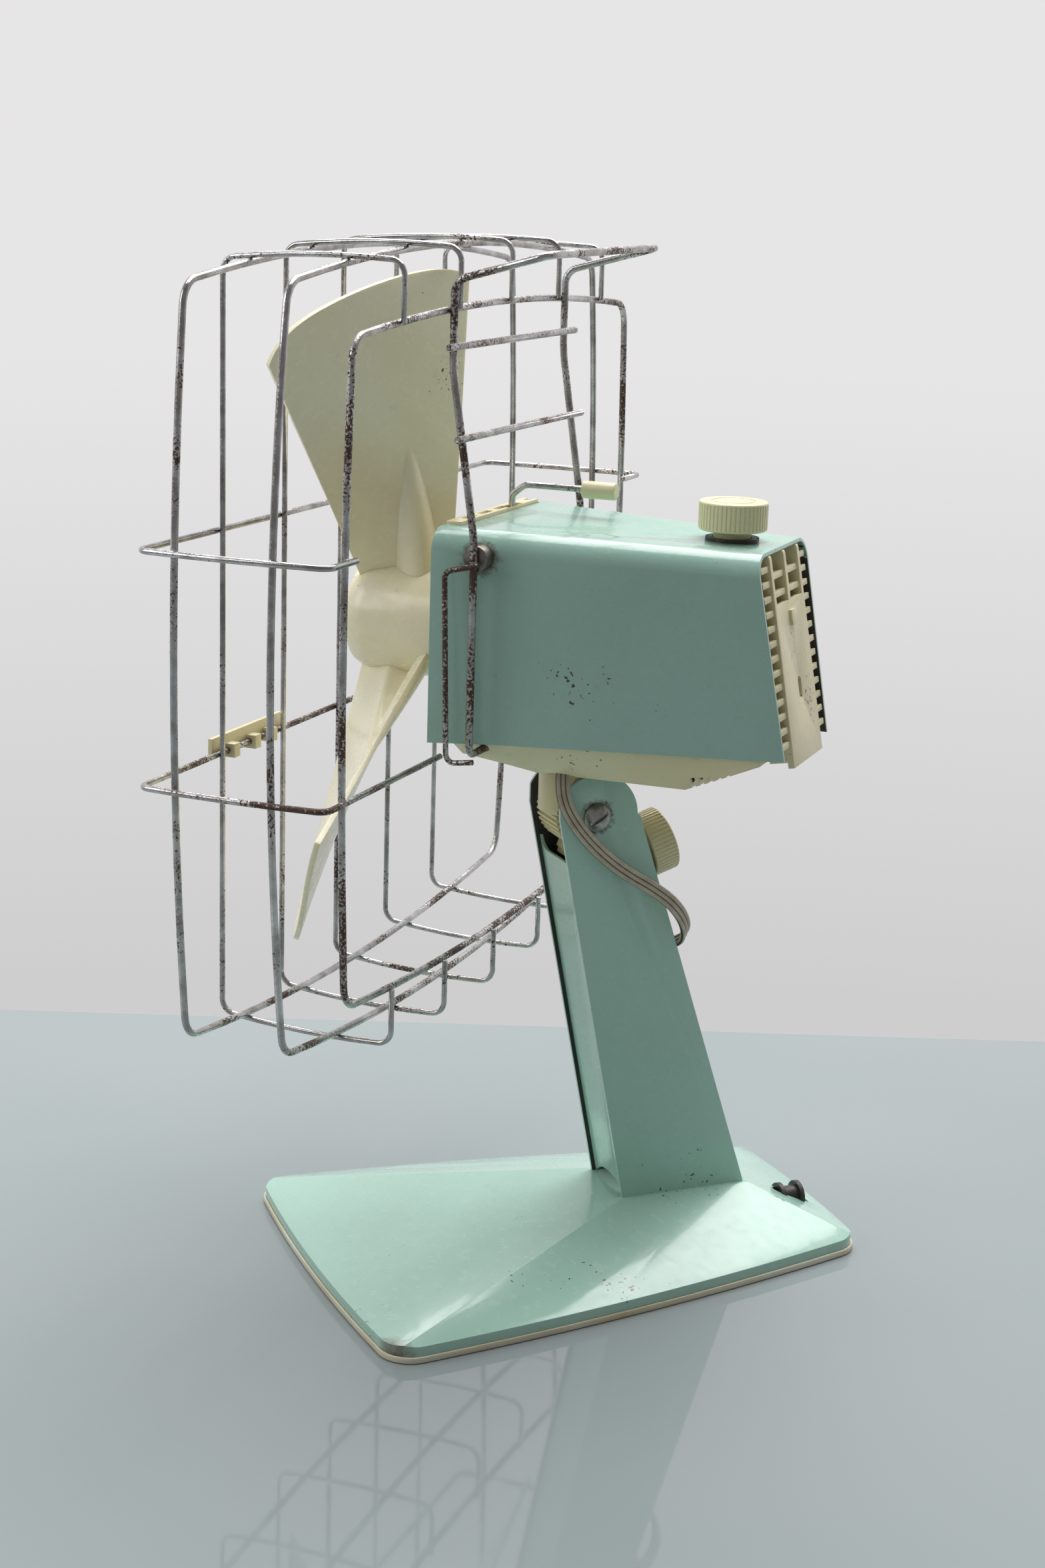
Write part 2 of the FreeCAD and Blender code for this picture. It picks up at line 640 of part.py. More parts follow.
def head_half(y):
    """Half width of the shell's outside at that y."""
    if y < v.head_bend_y:
        share = (y - v.head_front_y) / (v.head_bend_y - v.head_front_y)
        return v.head_front_half + share * (v.head_bend_half - v.head_front_half)
    share = (y - v.head_bend_y) / (v.head_rear_low_y - v.head_bend_y)
    return v.head_bend_half + share * (v.head_rear_half - v.head_bend_half)


def head_top(y):
    share = (y - v.head_front_y) / (v.head_rear_low_y - v.head_front_y)
    return v.head_top_front + share * (v.head_top_rear - v.head_top_front)


def head_low(y):
    share = (y - v.head_front_y) / (v.head_rear_low_y - v.head_front_y)
    return v.head_low_front + share * (v.head_low_rear - v.head_low_front)


def head_block(inset, extend=0.0):
    stations = [v.head_front_y - extend, v.head_bend_y, v.head_rear_low_y + 6 + extend]
    wires = [head_section(y, head_half(y), head_top(y), head_low(y), inset) for y in stations]
    return Part.makeLoft(wires, True, True)


def rear_cutter(back=0.0):
    """Everything behind the leaning rear edge of the shell, moved back by that much."""
    top, low = v.head_rear_top_y + back, v.head_rear_low_y + back
    slope = (low - top) / (v.head_top_rear - v.head_low_rear)
    high_z, low_z = v.head_top_rear + 30, v.head_low_rear - 40
    return side_prism([(low + slope * (v.head_low_rear - low_z), low_z), (low + 60, low_z),
                       (low + 60, high_z),
                       (top - slope * (high_z - v.head_top_rear), high_z)], 60)


knob_y = 51.2
boss_y = -23.0
boss_z = 94.0


def head_shell():
    shell = head_block(0).cut(head_block(v.head_wall, 1.0)).cut(rear_cutter())
    knob_hole = Part.makeCylinder(7.4, 20, Vector(0, knob_y, 92))
    bosses = Part.makeCylinder(2.15, 120, Vector(-60, boss_y, boss_z), X)
    lip = Part.makeBox(2 * v.lip_half, 8, 20, Vector(-v.lip_half, v.head_front_y - 2,
                                                     v.head_top_front - 5))
    return shell.cut([knob_hole, bosses, lip])


node("head_shell", made(head_shell()), "head")


# ---------------------------------------------------------------- front frame, rear grille, tray

lever_x = -14.2
lever_y = -36.0
lever_pivot_z = 86.0


def front_frame():
    """Cream frame in the shell's mouth: flush plate with upright bars, and a lip through the shell's top."""
    edge = v.head_front_y - 0.2
    half, top, low = v.head_front_half, v.head_top_front, v.head_low_front

    def plug(inset, y0, y1):
        w0 = head_section(y0, head_half(y0), head_top(y0), low, inset)
        w1 = head_section(y1, head_half(y1), head_top(y1), low, inset)
        floor = Part.makeBox(120, 60, 40, Vector(-60, -60, low - 40))
        return Part.makeLoft([w0, w1], True, True).cut(floor)

    tongue = plug(v.head_wall + v.fit_gap, edge, edge + 5.5)
    window_half, window_low, window_high = 35.0, low + 9, top - 10
    opening = Part.makeBox(2 * window_half, 30, window_high - window_low,
                           Vector(-window_half, -55, window_low))
    hollow_half = half - v.frame_rim - 4
    hollow = Part.makeBox(2 * hollow_half, 10, top - low - 2 * v.frame_rim - 2,
                          Vector(-hollow_half, edge + v.frame_plate, low + v.frame_rim + 1))
    plate = tongue.cut([opening, hollow])
    bars = []
    for i in range(-4, 5):
        bar = Part.makeBox(2.4, v.frame_plate, window_high - window_low + 2,
                           Vector(i * 7.8 - 1.2, edge, window_low - 1))
        bars.append(bar)
    hub = Part.makeCylinder(13, v.frame_plate, Vector(0, edge, v.axis_z), Y)
    lip_half = v.lip_half - v.fit_gap
    lip = Part.makeBox(2 * lip_half, 5.5, 4.0 + v.frame_rise, Vector(-lip_half, edge, top - 4.0))
    passage = Part.makeCylinder(7.0, 40, Vector(0, -60, v.axis_z), Y)
    slots = []
    for i in (0, 2, 3, 4):
        slots.append(Part.makeBox(9, 2.6, 3, Vector(-34 + i * 14.0 - 4.5, edge + 1.4, top - 1)))
    lever_slot = Part.makeBox(14, 3.0, 30, Vector(lever_x - 7, lever_y - 1.5, top - 12))
    pin = Part.makeCylinder(1.5, 20, Vector(lever_x, -50, lever_pivot_z), Y)
    frame = plate.fuse([hub, lip] + bars).cut([passage, lever_slot, pin] + slots)
    return frame.removeSplitter()


node("front_frame", made(front_frame()), "head")

rear_lean_angle = math.degrees(math.atan((v.head_rear_low_y - v.head_rear_top_y) / (v.head_top_rear
                                                                                    - v.head_low_rear)))


def on_rear(shape, proud=0.0):
    """Lean a shape made upright against the XZ plane back onto the shell's rear edge."""
    shape.translate(Vector(0, proud, 0))
    shape.rotate(ORIGIN, X, rear_lean_angle)
    shape.translate(Vector(0, v.head_rear_low_y, v.head_low_rear))
    return shape


def rear_grille():
    """Cream rear grille: plain plate, three upright ribs, short cross fins and a border."""
    plate_half, wall, fin = v.grille_plate_half, v.grille_wall, v.grille_fin
    high = 69.0
    border_half = v.head_rear_half - v.head_wall - v.fit_gap - 0.2
    plate = Part.makeBox(2 * plate_half, wall, 55, Vector(-plate_half, -wall, -4))
    outline = Part.makeBox(2 * border_half, 4, high - 3.2, Vector(-border_half, -9, 1.5))
    outline = outline.cut(Part.makeBox(2 * border_half + 2, 8, high - 6.4,
                                       Vector(-1 - border_half, -11, 3.1)))
    parts = [outline]
    for x in (-plate_half + 1.2, 0.0, plate_half - 1.2):
        rib = Part.makeBox(2.4, 8, high - 45, Vector(x - 1.2, -8, 46))
        top = [e for e in rib.Edges if abs(e.CenterOfMass.z
                                           - (high + 1)) < 0.01 and abs(e.CenterOfMass.y) < 0.01]
        parts.append(rib.makeFillet(3.5, top))
    for s in (-1, 1):
        stay = Part.makeBox(1.6, 8.5, 52, Vector(s * (plate_half - 0.8) - 0.8, -8.5, -2))
        parts.append(stay)
        for i in range(13):
            z = 3.4 + i * v.grille_pitch
            inner = plate_half - 1.0
            size = border_half - inner
            x0 = inner if s > 0 else -inner - size
            parts.append(Part.makeBox(size, 5.0, fin, Vector(x0, -5.8, z)))
    for i in range(2):
        z = 53.4 + i * v.grille_pitch * 1.25
        parts.append(Part.makeBox(2 * plate_half - 2, 3.4, fin, Vector(1 - plate_half, -4.2, z)))
    mark = Part.makeBox(5.2, 1.4, 5.2, Vector(-2.6, -0.4, 42.5))
    body = plate.fuse(parts + [mark])
    recess = Part.makeCylinder(1.7, 12, Vector(0, -6, 23.0), Y)
    upper = Part.makeCylinder(1.7, 12, Vector(0, -6, 19.0), Y)
    bridge = Part.makeBox(3.4, 12, 4.0, Vector(-1.7, -6, 19.0))
    placed_grille = on_rear(body.cut([recess, upper, bridge]).removeSplitter(), 0.4)
    return placed_grille.common(head_block(v.head_wall + v.fit_gap, 20.0))


node("rear_grille", made(rear_grille()), "head")


def tray_block(inset, lift, extra=0.0):
    """Bottom tray's outline: a side profile crossed with sides that slope in towards the bottom."""
    low = v.tray_low + lift
    rim = v.head_low_front + 1.5 + extra
    profile = [(-33.8 + inset, rim), (-32.6 + inset, low + 5.6), (-8.0, low), (46.0, low),
               (56.0, low + 4.4), (77.5 - inset, low + 14.0), (77.5 - inset, rim + 2)]
    sides = side_prism(profile, 60)
    stations = (-39.0, v.head_bend_y, 80.0)
    low_halves = (25.5, 25.0, 21.0)
    plan = []
    for rise in (-1.0, 20.0):
        right = []
        for y, low_half in zip(stations, low_halves):
            high_half = head_half(y) - v.head_wall - v.fit_gap
            share = rise / (v.head_low_front + 3.0 - v.tray_low)
            right.append(Vector(low_half + share * (high_half - low_half) - inset, y, v.tray_low + rise))
        left = [Vector(-p.x, p.y, p.z) for p in reversed(right)]
        plan.append(Part.makePolygon(right + left + [right[0]]))
    return sides.common(Part.makeLoft(plan, True, True))


def bottom_tray():
    tray = tray_block(0, 0).cut(tray_block(v.tray_wall, v.tray_wall, 4.0))
    opening = Part.makeCylinder(v.tray_opening, 6.2, Vector(0, 0, v.tray_low - 1))
    louvres = []
    for i in range(7):
        louvre = Part.makeBox(50, 1.5, 20, Vector(-25, 48.5 + 3.1 * i, v.tray_low - 4))
        louvres.append(louvre)
    feet = Part.makeCylinder(v.stay_wire / 2 + 0.15, 120, Vector(-60, stay_foot_y, stay_foot_z), X)
    rear = rear_cutter(-9.2)
    return tray.cut([opening, feet, rear] + louvres)


stay_foot_y = -23.0
stay_foot_z = 26.6
node("bottom_tray", made(bottom_tray()), "head")

# ---------------------------------------------------------------- controls on top of the head

knob_base_z = 101.0
switch_knob = knurled_knob(v.knob_radius, v.knob_height, v.knob_shank, v.knob_ribs)
switch_knob.translate(Vector(0, knob_y, knob_base_z))
node("switch_knob", made(switch_knob), "head")
node("switch_spindle", cylinder("worm_shaft", "23.5", ("0", knob_y, "88")), "head")
body = box((22, 17, 12), (0, knob_y, 90))
node("switch_body", cut(body, cylinder("worm_shaft + 0.05", "14", ("0", knob_y, "86"))), "head")


def knob_bezel():
    """Black ring in the shell's top around the knob's shank."""
    ring = Part.makeCylinder(9.2, 1.2, Vector(0, knob_y, 100.6)).fuse(Part.makeCylinder(7.2, 3.5,
                                                                                        Vector(0, knob_y,
                                                                                               98.2)))
    return ring.cut(Part.makeCylinder(6.8, 10, Vector(0, knob_y, 95)))


node("knob_bezel", made(knob_bezel().cut(head_shell())), "head")

lever_high = 111.7
lever_end = -9.0


def lever_rod():
    foot = Vector(lever_x, lever_y, lever_pivot_z)
    line = bent_line([foot + Z * 2.5, Vector(lever_x, lever_y, lever_high - 4),
                      Vector(lever_x, lever_y + 5, lever_high),
                      Vector(lever_x, lever_end + 8, lever_high)], [3.4, 5.0])
    eye = Part.makeCylinder(3.8, 2.2, foot - Y * 1.1, Y)
    return rod(line, 2.4).fuse(eye).cut(Part.makeCylinder(1.55, 6, foot - Y * 3, Y))


def lever_tip():
    tip = Part.makeCylinder(3.1, 12.6, Vector(lever_x, lever_end, lever_high), Y)
    tip = tip.makeFillet(0.7, [e for e in tip.Edges if isinstance(e.Curve, Part.Circle)])
    return tip.cut(Part.makeCylinder(1.2, 8.2, Vector(lever_x, lever_end - 0.2, lever_high), Y))


node("lever_rod", made(lever_rod()), "head")
node("lever_tip", made(lever_tip()), "head")
node("lever_pin", cylinder("1.5", "5", (lever_x, -39.2, lever_pivot_z), "y"), "head")

# ---------------------------------------------------------------- motor

stack = "stator_rear_y - stator_front_y"
stack_middle = "(stator_rear_y + stator_front_y) / 2"
core = box(("2 * stator_half", stack, "50"), ("0", stack_middle, "59"))
bore = cylinder("stator_bore", "60", ("0", "stator_front_y - 10", "axis_z"), "y")
window = box(("36", "60", "4"), ("0", stack_middle, "43"))
bolt_x = "stator_half - 4"
bolt_holes = [cylinder("2.1", "60", ("(%d) * (%s)" % (s, bolt_x), "stator_front_y - 10", "axis_z + 14"),
                       "y")
              for s in (-1, 1)]
node("motor_stack", cut(core, bore, window, *bolt_holes), "head")
node("motor_core", cut(cylinder("rotor_core", stack, ("0", "stator_front_y", "axis_z"), "y"),
                       cylinder("shaft_radius", "40", ("0", "stator_front_y - 5", "axis_z"), "y")),
                       "head")
coil = box(("35", stack + " + 10", "14.7"), ("0", stack_middle, "37.4"))
limb = box(("40", stack + " + 0.4", "7.3"), ("0", stack_middle, "37.5"))
node("motor_coil", cut(coil, limb), "head")
node("motor_shaft", cylinder("shaft_radius", "125", ("0", "-91", "axis_z"), "y"), "head")


def bracket(start, outward):
    """Pressed bearing bridge across the stack: two legs and a bar with the bush's seat."""
    near = min(start, start + 9 * outward)
    bar_y = near if outward < 0 else near + 7
    bar = Part.makeBox(2 * v.stator_half, 2, 16, Vector(-v.stator_half, bar_y, v.axis_z - 2))
    seat = Part.makeCylinder(8.5, 5, Vector(0, bar_y if outward < 0 else bar_y - 3, v.axis_z), Y)
    legs = []
    for s in (-1, 1):
        x0 = v.stator_half - 8 if s > 0 else -v.stator_half
        legs.append(Part.makeBox(8, 9, 16, Vector(x0, near, v.axis_z + 6)))
    body = bar.fuse([seat] + legs)
    holes = [Part.makeCylinder(2.1, 60, Vector(s * (v.stator_half - 4), -40, v.axis_z + 14),
                               Y) for s in (-1, 1)]
    return body.cut([Part.makeCylinder(v.bush_radius, 60, Vector(0, -40, v.axis_z), Y)] + holes)


brackets = Part.makeCompound([bracket(v.stator_front_y, -1), bracket(v.stator_rear_y, 1)])
node("bearing_brackets", made(brackets), "head")
bush_starts = ("stator_front_y - 9.5", "stator_rear_y + 3.5")
bushes = [cut(cylinder("bush_radius", "bush_length", ("0", start, "axis_z"), "y"),
              cylinder("shaft_bore", "bush_length + 4", ("0", start + " - 2", "axis_z"),
                       "y")) for start in bush_starts]
bush_pair = doc.addObject("Part::Compound", "bush_pair")
bush_pair.Links = bushes
node("motor_bushes", bush_pair, "head")


def motor_screws():
    screws = []
    for s in (-1, 1):
        at = Vector(s * (v.stator_half - 4), v.stator_front_y - 9, v.axis_z + 14)
        screw = Part.makeCylinder(2.0, 42.9, at - Y * 0.1,
                                  Y).fuse(Part.makeCylinder(3.6, 2.4, at - Y * 2.4, Y))
        slot = Part.makeBox(8, 1, 0.9, at + Vector(-4, -2.5, -0.45))
        screws.append(screw.cut(slot))
    return Part.makeCompound(screws)


node("motor_screws", made(motor_screws()), "head")

# ---------------------------------------------------------------- carrier and swing gear

carrier_z = 26.0


def carrier():
    """Steel plate under the motor that holds the stack and turns on the neck."""
    plate = Part.makeBox(44, 72, 2, Vector(-22, -29, carrier_z))
    ears = []
    for s in (-1, 1):
        x0 = v.stator_half + 0.2 if s > 0 else -v.stator_half - 2.2
        ears.append(Part.makeBox(2, 18, 26, Vector(x0, -21, carrier_z)))
        ears.append(Part.makeBox(10, 18, 2, Vector(21 if s > 0 else -31 + 0.8, -21, carrier_z)))
    body = plate.fuse(ears)
    body = body.cut([Part.makeCylinder(v.spindle_radius, 10, Vector(0, 0, carrier_z - 4)),
                     Part.makeCylinder(2.6, 10, Vector(wheel_x, wheel_y, carrier_z - 4)),
                     Part.makeBox(36, 36, 10, Vector(-18, -30, carrier_z + 2))])
    return body.removeSplitter()


node("carrier", made(carrier()), "head")
node("pan_spindle", fuse(cylinder("spindle_radius", "15.7", ("0", "0", "12.3")),
                         cylinder("3.6", "2.2", ("0", "0", "10.3"))), "head")
node("spindle_clip", cut(cylinder("7.4", "1", ("0", "0", "11.3")),
                         cylinder("3.6", "3", ("0", "0", "10"))), "head")
node("thrust_washer", cut(cylinder("8.6", "25.99 - collar_top", ("0", "0", "collar_top + 0.01")),
                          cylinder("spindle_bore", "4", ("0", "0", "23"))), "head")

gear_low, gear_high = 50.0, 74.0


def gear_case():
    """Die-cast box behind the motor round the shaft's worm and its wheel, open at the top."""
    x0, x1, y0, y1 = -8.0, wheel_x + swing_pitch_radius + 3.5, wheel_y - 13.0, wheel_y + 13.0
    outer = Part.makeBox(x1 - x0, y1 - y0, gear_high - gear_low, Vector(x0, y0, gear_low))
    inner = Part.makeBox(x1 - x0 - 3, y1 - y0 - 3, gear_high, Vector(x0 + 1.5, y0 + 1.5, gear_low + 2))
    posts = [Part.makeCylinder(3, gear_low - carrier_z - 2,
                               Vector(x, 31.0, carrier_z + 2)) for x in (-3.0, 21.0)]
    shaft = Part.makeCylinder(v.shaft_bore, 60, Vector(0, 0, v.axis_z), Y)
    wheel = Part.makeCylinder(2.55, 30, Vector(wheel_x, wheel_y, gear_low - 10))
    return outer.fuse(posts).cut([inner, shaft, wheel])


node("gear_case", made(gear_case()), "head")
case_length = wheel_x + swing_pitch_radius + 3.5 + 8.0
node("gear_cover", box((case_length, 26, 1.6), (case_length / 2 - 8.0, 23, gear_high + 0.8)), "head")

swing_worm = worm(v.swing_worm_core, v.swing_worm_tip, v.swing_lead, 16, 0.46, 0.28)
swing_worm = swing_worm.cut(Part.makeCylinder(v.shaft_radius, 40, Vector(0, 0, -20)))
swing_worm.rotate(ORIGIN, Z, 90)
swing_worm.rotate(ORIGIN, X, -90)
swing_worm.translate(Vector(0, wheel_y, v.axis_z))
node("swing_worm", made(swing_worm), "head")


def swing_wheel():
    wheel = toothed(v.swing_teeth, swing_pitch_radius + 0.45, swing_pitch_radius - 1.0, 186.0, 546.0,
                    0.30, 0.52, "z", 6.0)
    wheel = wheel.cut(Part.makeCylinder(2.5, 20, Vector(0, 0, -10)))
    wheel.translate(Vector(wheel_x, wheel_y, v.axis_z))
    return wheel


def crank():
    """Upright spindle with the crank disc and its pin at the lower end."""
    low = 22.4
    shaft = Part.makeCylinder(2.5, 45.6, Vector(wheel_x, wheel_y, low))
    disc = Part.makeCylinder(crank_radius + 2.2, 2.0, Vector(wheel_x, wheel_y, low))
    heading = link_bearing - math.radians(v.pan_rest)
    pin_at = Vector(wheel_x, wheel_y, low - 1.4) + Vector(math.cos(heading), math.sin(heading),
                                                          0) * crank_radius
    return shaft.fuse([disc, Part.makeCylinder(v.link_pin, 1.8, pin_at)])


node("swing_wheel", made(swing_wheel()), "head")
node("swing_crank", made(crank()), "head")


def link_plate():
    """Flat link from the turret's pin to the crank; the crank's pin ends just above its eye."""
    low = 0.3
    bar = Part.makeBox(link_length, 4.0, v.link_thick, Vector(0, -2.0, low))
    eyes = [Part.makeCylinder(2.6, v.link_thick, Vector(x, 0, low)) for x in (0, link_length)]
    bores = [Part.makeCylinder(v.link_bore, 6, Vector(x, 0, -2)) for x in (0, link_length)]
    link = bar.fuse(eyes).cut(bores)
    link.rotate(ORIGIN, Z, math.degrees(link_bearing))
    link.translate(anchor)
    return link


node("swing_link", made(link_plate()), "neck")
block = box((20, 10, 9), (0, 52, 66))
screws = [cylinder("1.6", "6", (x, 52, 66.5)) for x in (-6, 0, 6)]
node("terminal_block", cut(block, *screws), "head")

# ---------------------------------------------------------------- fan

def blade():
    """One twisted paddle as a loft of upright sections round the axis."""
    sections = []
    count = 7
    for i in range(count):
        share = i / (count - 1)
        angle = math.radians(v.blade_start + share * (v.blade_end - v.blade_start))
        bow = 2.0 * math.sin(math.pi * share)
        tip_y = v.blade_front_y + share * (v.blade_rear_y - v.blade_front_y) + bow
        root_y = v.blade_front_y + 7.0 + share * (v.blade_rear_y - v.blade_front_y - 9.0) + bow
        edge = abs(2 * share - 1)
        tip = v.fan_radius - (8.0 if share < 0.5 else 3.0) * edge ** 6
        root = v.fan_hub - 5
        u = Vector(math.cos(angle), 0, math.sin(angle))
        corners = [u * root + Y * (root_y - v.blade_root / 2), u * tip + Y * (tip_y - v.blade_tip / 2),
                   u * tip + Y * (tip_y + v.blade_tip / 2), u * root + Y * (root_y + v.blade_root / 2)]
        sections.append(Part.makePolygon(corners + [corners[0]]))
    return Part.makeLoft(sections, True, False)


def fan():
    front = v.blade_front_y + 1.5
    hub_profile = [Vector(0, v.hub_rear_y, 0), Vector(v.fan_hub, v.hub_rear_y, 0),
                   Vector(v.fan_hub, front + 9.5, 0), Vector(v.fan_hub - 2, front + 3.5, 0),
                   Vector(v.fan_hub - 8, front, 0), Vector(0, front, 0)]
    hub = polygon_face(hub_profile).revolve(ORIGIN, Y, 360)
    pocket = Part.makeCylinder(v.fan_hub - 3, 14, Vector(0, v.hub_rear_y - 14, 0), Y)
    sleeve = Part.makeCylinder(7, 12, Vector(0, v.hub_rear_y - 14, 0), Y)
    hub = hub.cut(pocket).fuse(sleeve)
    blades = []
    for i in range(3):
        copy = blade()
        copy.rotate(ORIGIN, Y, 120 * i)
        blades.append(copy)
    swept = Part.makeCylinder(v.fan_hub - 2.9, 14, Vector(0, v.hub_rear_y - 14, 0), Y)
    blades = [b.cut(swept) for b in blades]
    body = hub.fuse(blades).cut(Part.makeCylinder(v.shaft_radius, 90, Vector(0, -120, 0), Y))
    body.translate(Vector(0, 0, v.axis_z))
    return body


node("fan_blades", made(fan()), "head")


def fan_nut():
    nut = Part.makeCylinder(6.0, 4.0, Vector(0, v.blade_front_y - 2.5, v.axis_z), Y)
    nut = nut.makeFillet(1.5, [e for e in nut.Edges if e.CenterOfMass.y < v.blade_front_y - 2])
    return nut.cut(Part.makeCylinder(v.shaft_radius, 10, Vector(0, v.blade_front_y - 1, v.axis_z), Y))


node("fan_nut", made(fan_nut()), "head")

# ---------------------------------------------------------------- wire guard

HOOPS = {
    "guard_hoop_front": ("hoop_front_y", 137.25, 130.6, 7.2, 8.6),
    "guard_hoop_middle": ("hoop_middle_y", 138.1, 132.2, 10.0, 8.8),
    "guard_hoop_rear": ("hoop_rear_y", 123.3, 113.5, 4.2, 6.2),
}
for name, (alias, half, tall, bulge, rise) in HOOPS.items():
    frame = moved(crowned_frame(half, tall, bulge, rise, 9.0), Vector(0, getattr(v, alias), v.axis_z))
    node(name, made(rod(frame, v.hoop_wire)), "head")


def hoop_height(name, x):
    """Half height of a hoop's wire line at x."""
    half, tall, bulge, rise = HOOPS[name][1:]
    radius = circle_through(half - bulge, rise)
    return tall - radius + math.sqrt(radius ** 2 - x ** 2)


def guard_line(x):
    """One long guard wire at x, from the rear hoop's top round the front to its underside."""
    weld = (v.hoop_wire + v.guard_wire) / 2 - v.weld_bite
    front_top = hoop_height("guard_hoop_front", x) + weld
    rear_y = v.hoop_rear_y + weld
    middle_top = hoop_height("guard_hoop_middle", x) + weld
    drop = hoop_height("guard_hoop_rear", x)
    y1, y2 = v.hoop_front_y, v.hoop_middle_y
    crown_radius = 330.0
    chord = Vector(0, y2 - y1, middle_top - front_top)
    across = Vector(0, -chord.z, chord.y).normalize()
    centre = Vector(x, y1, front_top) + chord / 2 - across * math.sqrt(crown_radius ** 2
                                                                       - (chord.Length / 2) ** 2)
    corner = 5.0

    def meet(line_y, side):
        cy = line_y - side * corner
        reach = crown_radius - corner
        cz = centre.z + math.sqrt(reach ** 2 - (cy - centre.y) ** 2)
        bend = Vector(x, cy, cz)
        on_crown = centre + (bend - centre).normalize() * crown_radius
        on_line = Vector(x, line_y, cz)
        halfway = bend + ((on_crown - bend) + (on_line - bend)).normalize() * corner
        return on_crown, halfway, on_line

    rear = meet(rear_y, 1)
    front = meet(v.guard_front_y, -1)
    top = centre + Vector(0, (y1 + y2) / 2 - centre.y, centre.z).normalize() * crown_radius
    top = centre + Vector(0, (y1 + y2) / 2 - centre.y,
                          math.sqrt(crown_radius ** 2 - ((y1 + y2) / 2 - centre.y) ** 2))
    half = [Part.LineSegment(Vector(x, rear_y, drop), rear[2]).toShape(), arc(rear[2], rear[1], rear[0]),
            arc(rear[0], top, front[0]), arc(front[0], front[1], front[2])]

    def below(p):
        return Vector(p.x, p.y, -p.z)

    up = [arc(below(front[2]), below(front[1]), below(front[0])),
          arc(below(front[0]), below(top), below(rear[0])),
          arc(below(rear[0]), below(rear[1]), below(rear[2])),
          Part.LineSegment(below(rear[2]), Vector(x, rear_y, -drop)).toShape()]
    bar = Part.LineSegment(front[2], below(front[2])).toShape()
    return moved(half + [bar] + up, Vector(0, 0, v.axis_z))


def wire_pair(x):
    return Part.makeCompound([rod(guard_line(s * x), v.guard_wire) for s in (1, -1)])


node("guard_wires_outer", made(wire_pair(2 * v.wire_pitch)), "head")
node("guard_wires_inner", made(wire_pair(v.wire_pitch)), "head")
node("guard_wire_middle", made(rod(guard_line(0), v.guard_wire)), "head")


def band_line(z, inner):
    """One U band round the guard's sides and front; its ends turn in behind the rear hoop."""
    half, front = v.band_half, v.guard_front_y - (v.band_wire + v.guard_wire) / 2 + v.weld_bite
    rear = v.hoop_rear_y + (v.hoop_wire + v.band_wire) / 2 - v.weld_bite
    drop = 1.6
    corner = 4.0
    side_radius = circle_through((rear - front) / 2, drop)
    centre = Vector(half - side_radius, (rear + front) / 2, z)

    def meet(line_y, side):
        cy = line_y + side * corner
        cx = centre.x + math.sqrt((side_radius - corner) ** 2 - (cy - centre.y) ** 2)
        bend = Vector(cx, cy, z)
        on_side = centre + (bend - centre).normalize() * side_radius
        on_line = Vector(cx, line_y, z)
        halfway = bend + ((on_side - bend) + (on_line - bend)).normalize() * corner
        return on_side, halfway, on_line

    at_front = meet(front, 1)
    at_rear = meet(rear, -1)
    middle = Vector(half, (rear + front) / 2, z)
    tail = Part.LineSegment(Vector(inner, rear, z), at_rear[2]).toShape()
    right = [tail, arc(at_rear[2], at_rear[1], at_rear[0]), arc(at_rear[0], middle, at_front[0]),
             arc(at_front[0], at_front[1], at_front[2])]

    def mirror(p):
        return Vector(-p.x, p.y, p.z)

    left = [arc(mirror(at_front[2]), mirror(at_front[1]), mirror(at_front[0])),
            arc(mirror(at_front[0]), mirror(middle), mirror(at_rear[0])),
            arc(mirror(at_rear[0]), mirror(at_rear[1]), mirror(at_rear[2])),
            Part.LineSegment(mirror(at_rear[2]), Vector(-inner, rear, z)).toShape()]
    bar = Part.LineSegment(at_front[2], mirror(at_front[2])).toShape()
    return right + [bar] + left


node("guard_band_upper", made(rod(band_line(v.upper_band_z, 119.0), v.band_wire)), "head")
stay_front_y = v.hoop_rear_y + (v.hoop_wire + v.stay_wire) / 2 - v.weld_bite
node("guard_band_lower", made(rod(band_line(v.lower_band_z, v.stay_half + 3.0), v.band_wire)), "head")


def stays():
    """Both uprights and the carrying handle bent from one wire, with feet under the shell."""
    x, top = v.stay_half, 185.2
    side = [Vector(x - 17.0, stay_foot_y, stay_foot_z), Vector(x, stay_foot_y, stay_foot_z),
            Vector(x, boss_y, boss_z + 6),
            Vector(x, stay_front_y, 157.0), Vector(x, stay_front_y, top),
            Vector(x + 2.4, stay_front_y + v.handle_reach, top + v.handle_rise)]
    other = [Vector(-p.x, p.y, p.z) for p in reversed(side)]
    radii = [4.0, 60.0, 60.0, 6.0, 4.0, 4.0, 6.0, 60.0, 60.0, 4.0]
    return rod(bent_line(side + other, radii), v.stay_wire)


node("guard_stays", made(stays()), "head")
rung_y = stay_front_y + v.stay_wire / 2 + v.hoop_wire / 2 - v.weld_bite


def rungs():
    """Two cross rungs welded behind the uprights."""
    upper = Part.makeCylinder(v.hoop_wire / 2, 112, Vector(-54, rung_y, 164.0), X)
    lean_y = boss_y + (stay_front_y - boss_y) * (134.3 - boss_z - 6) / (157.0 - boss_z - 6)
    lower = Part.makeCylinder(v.hoop_wire / 2, 112,
                              Vector(-54, lean_y + v.stay_wire / 2 + v.hoop_wire / 2, 134.3), X)
    return Part.makeCompound([upper, lower])


node("guard_rungs", made(rungs()), "head")


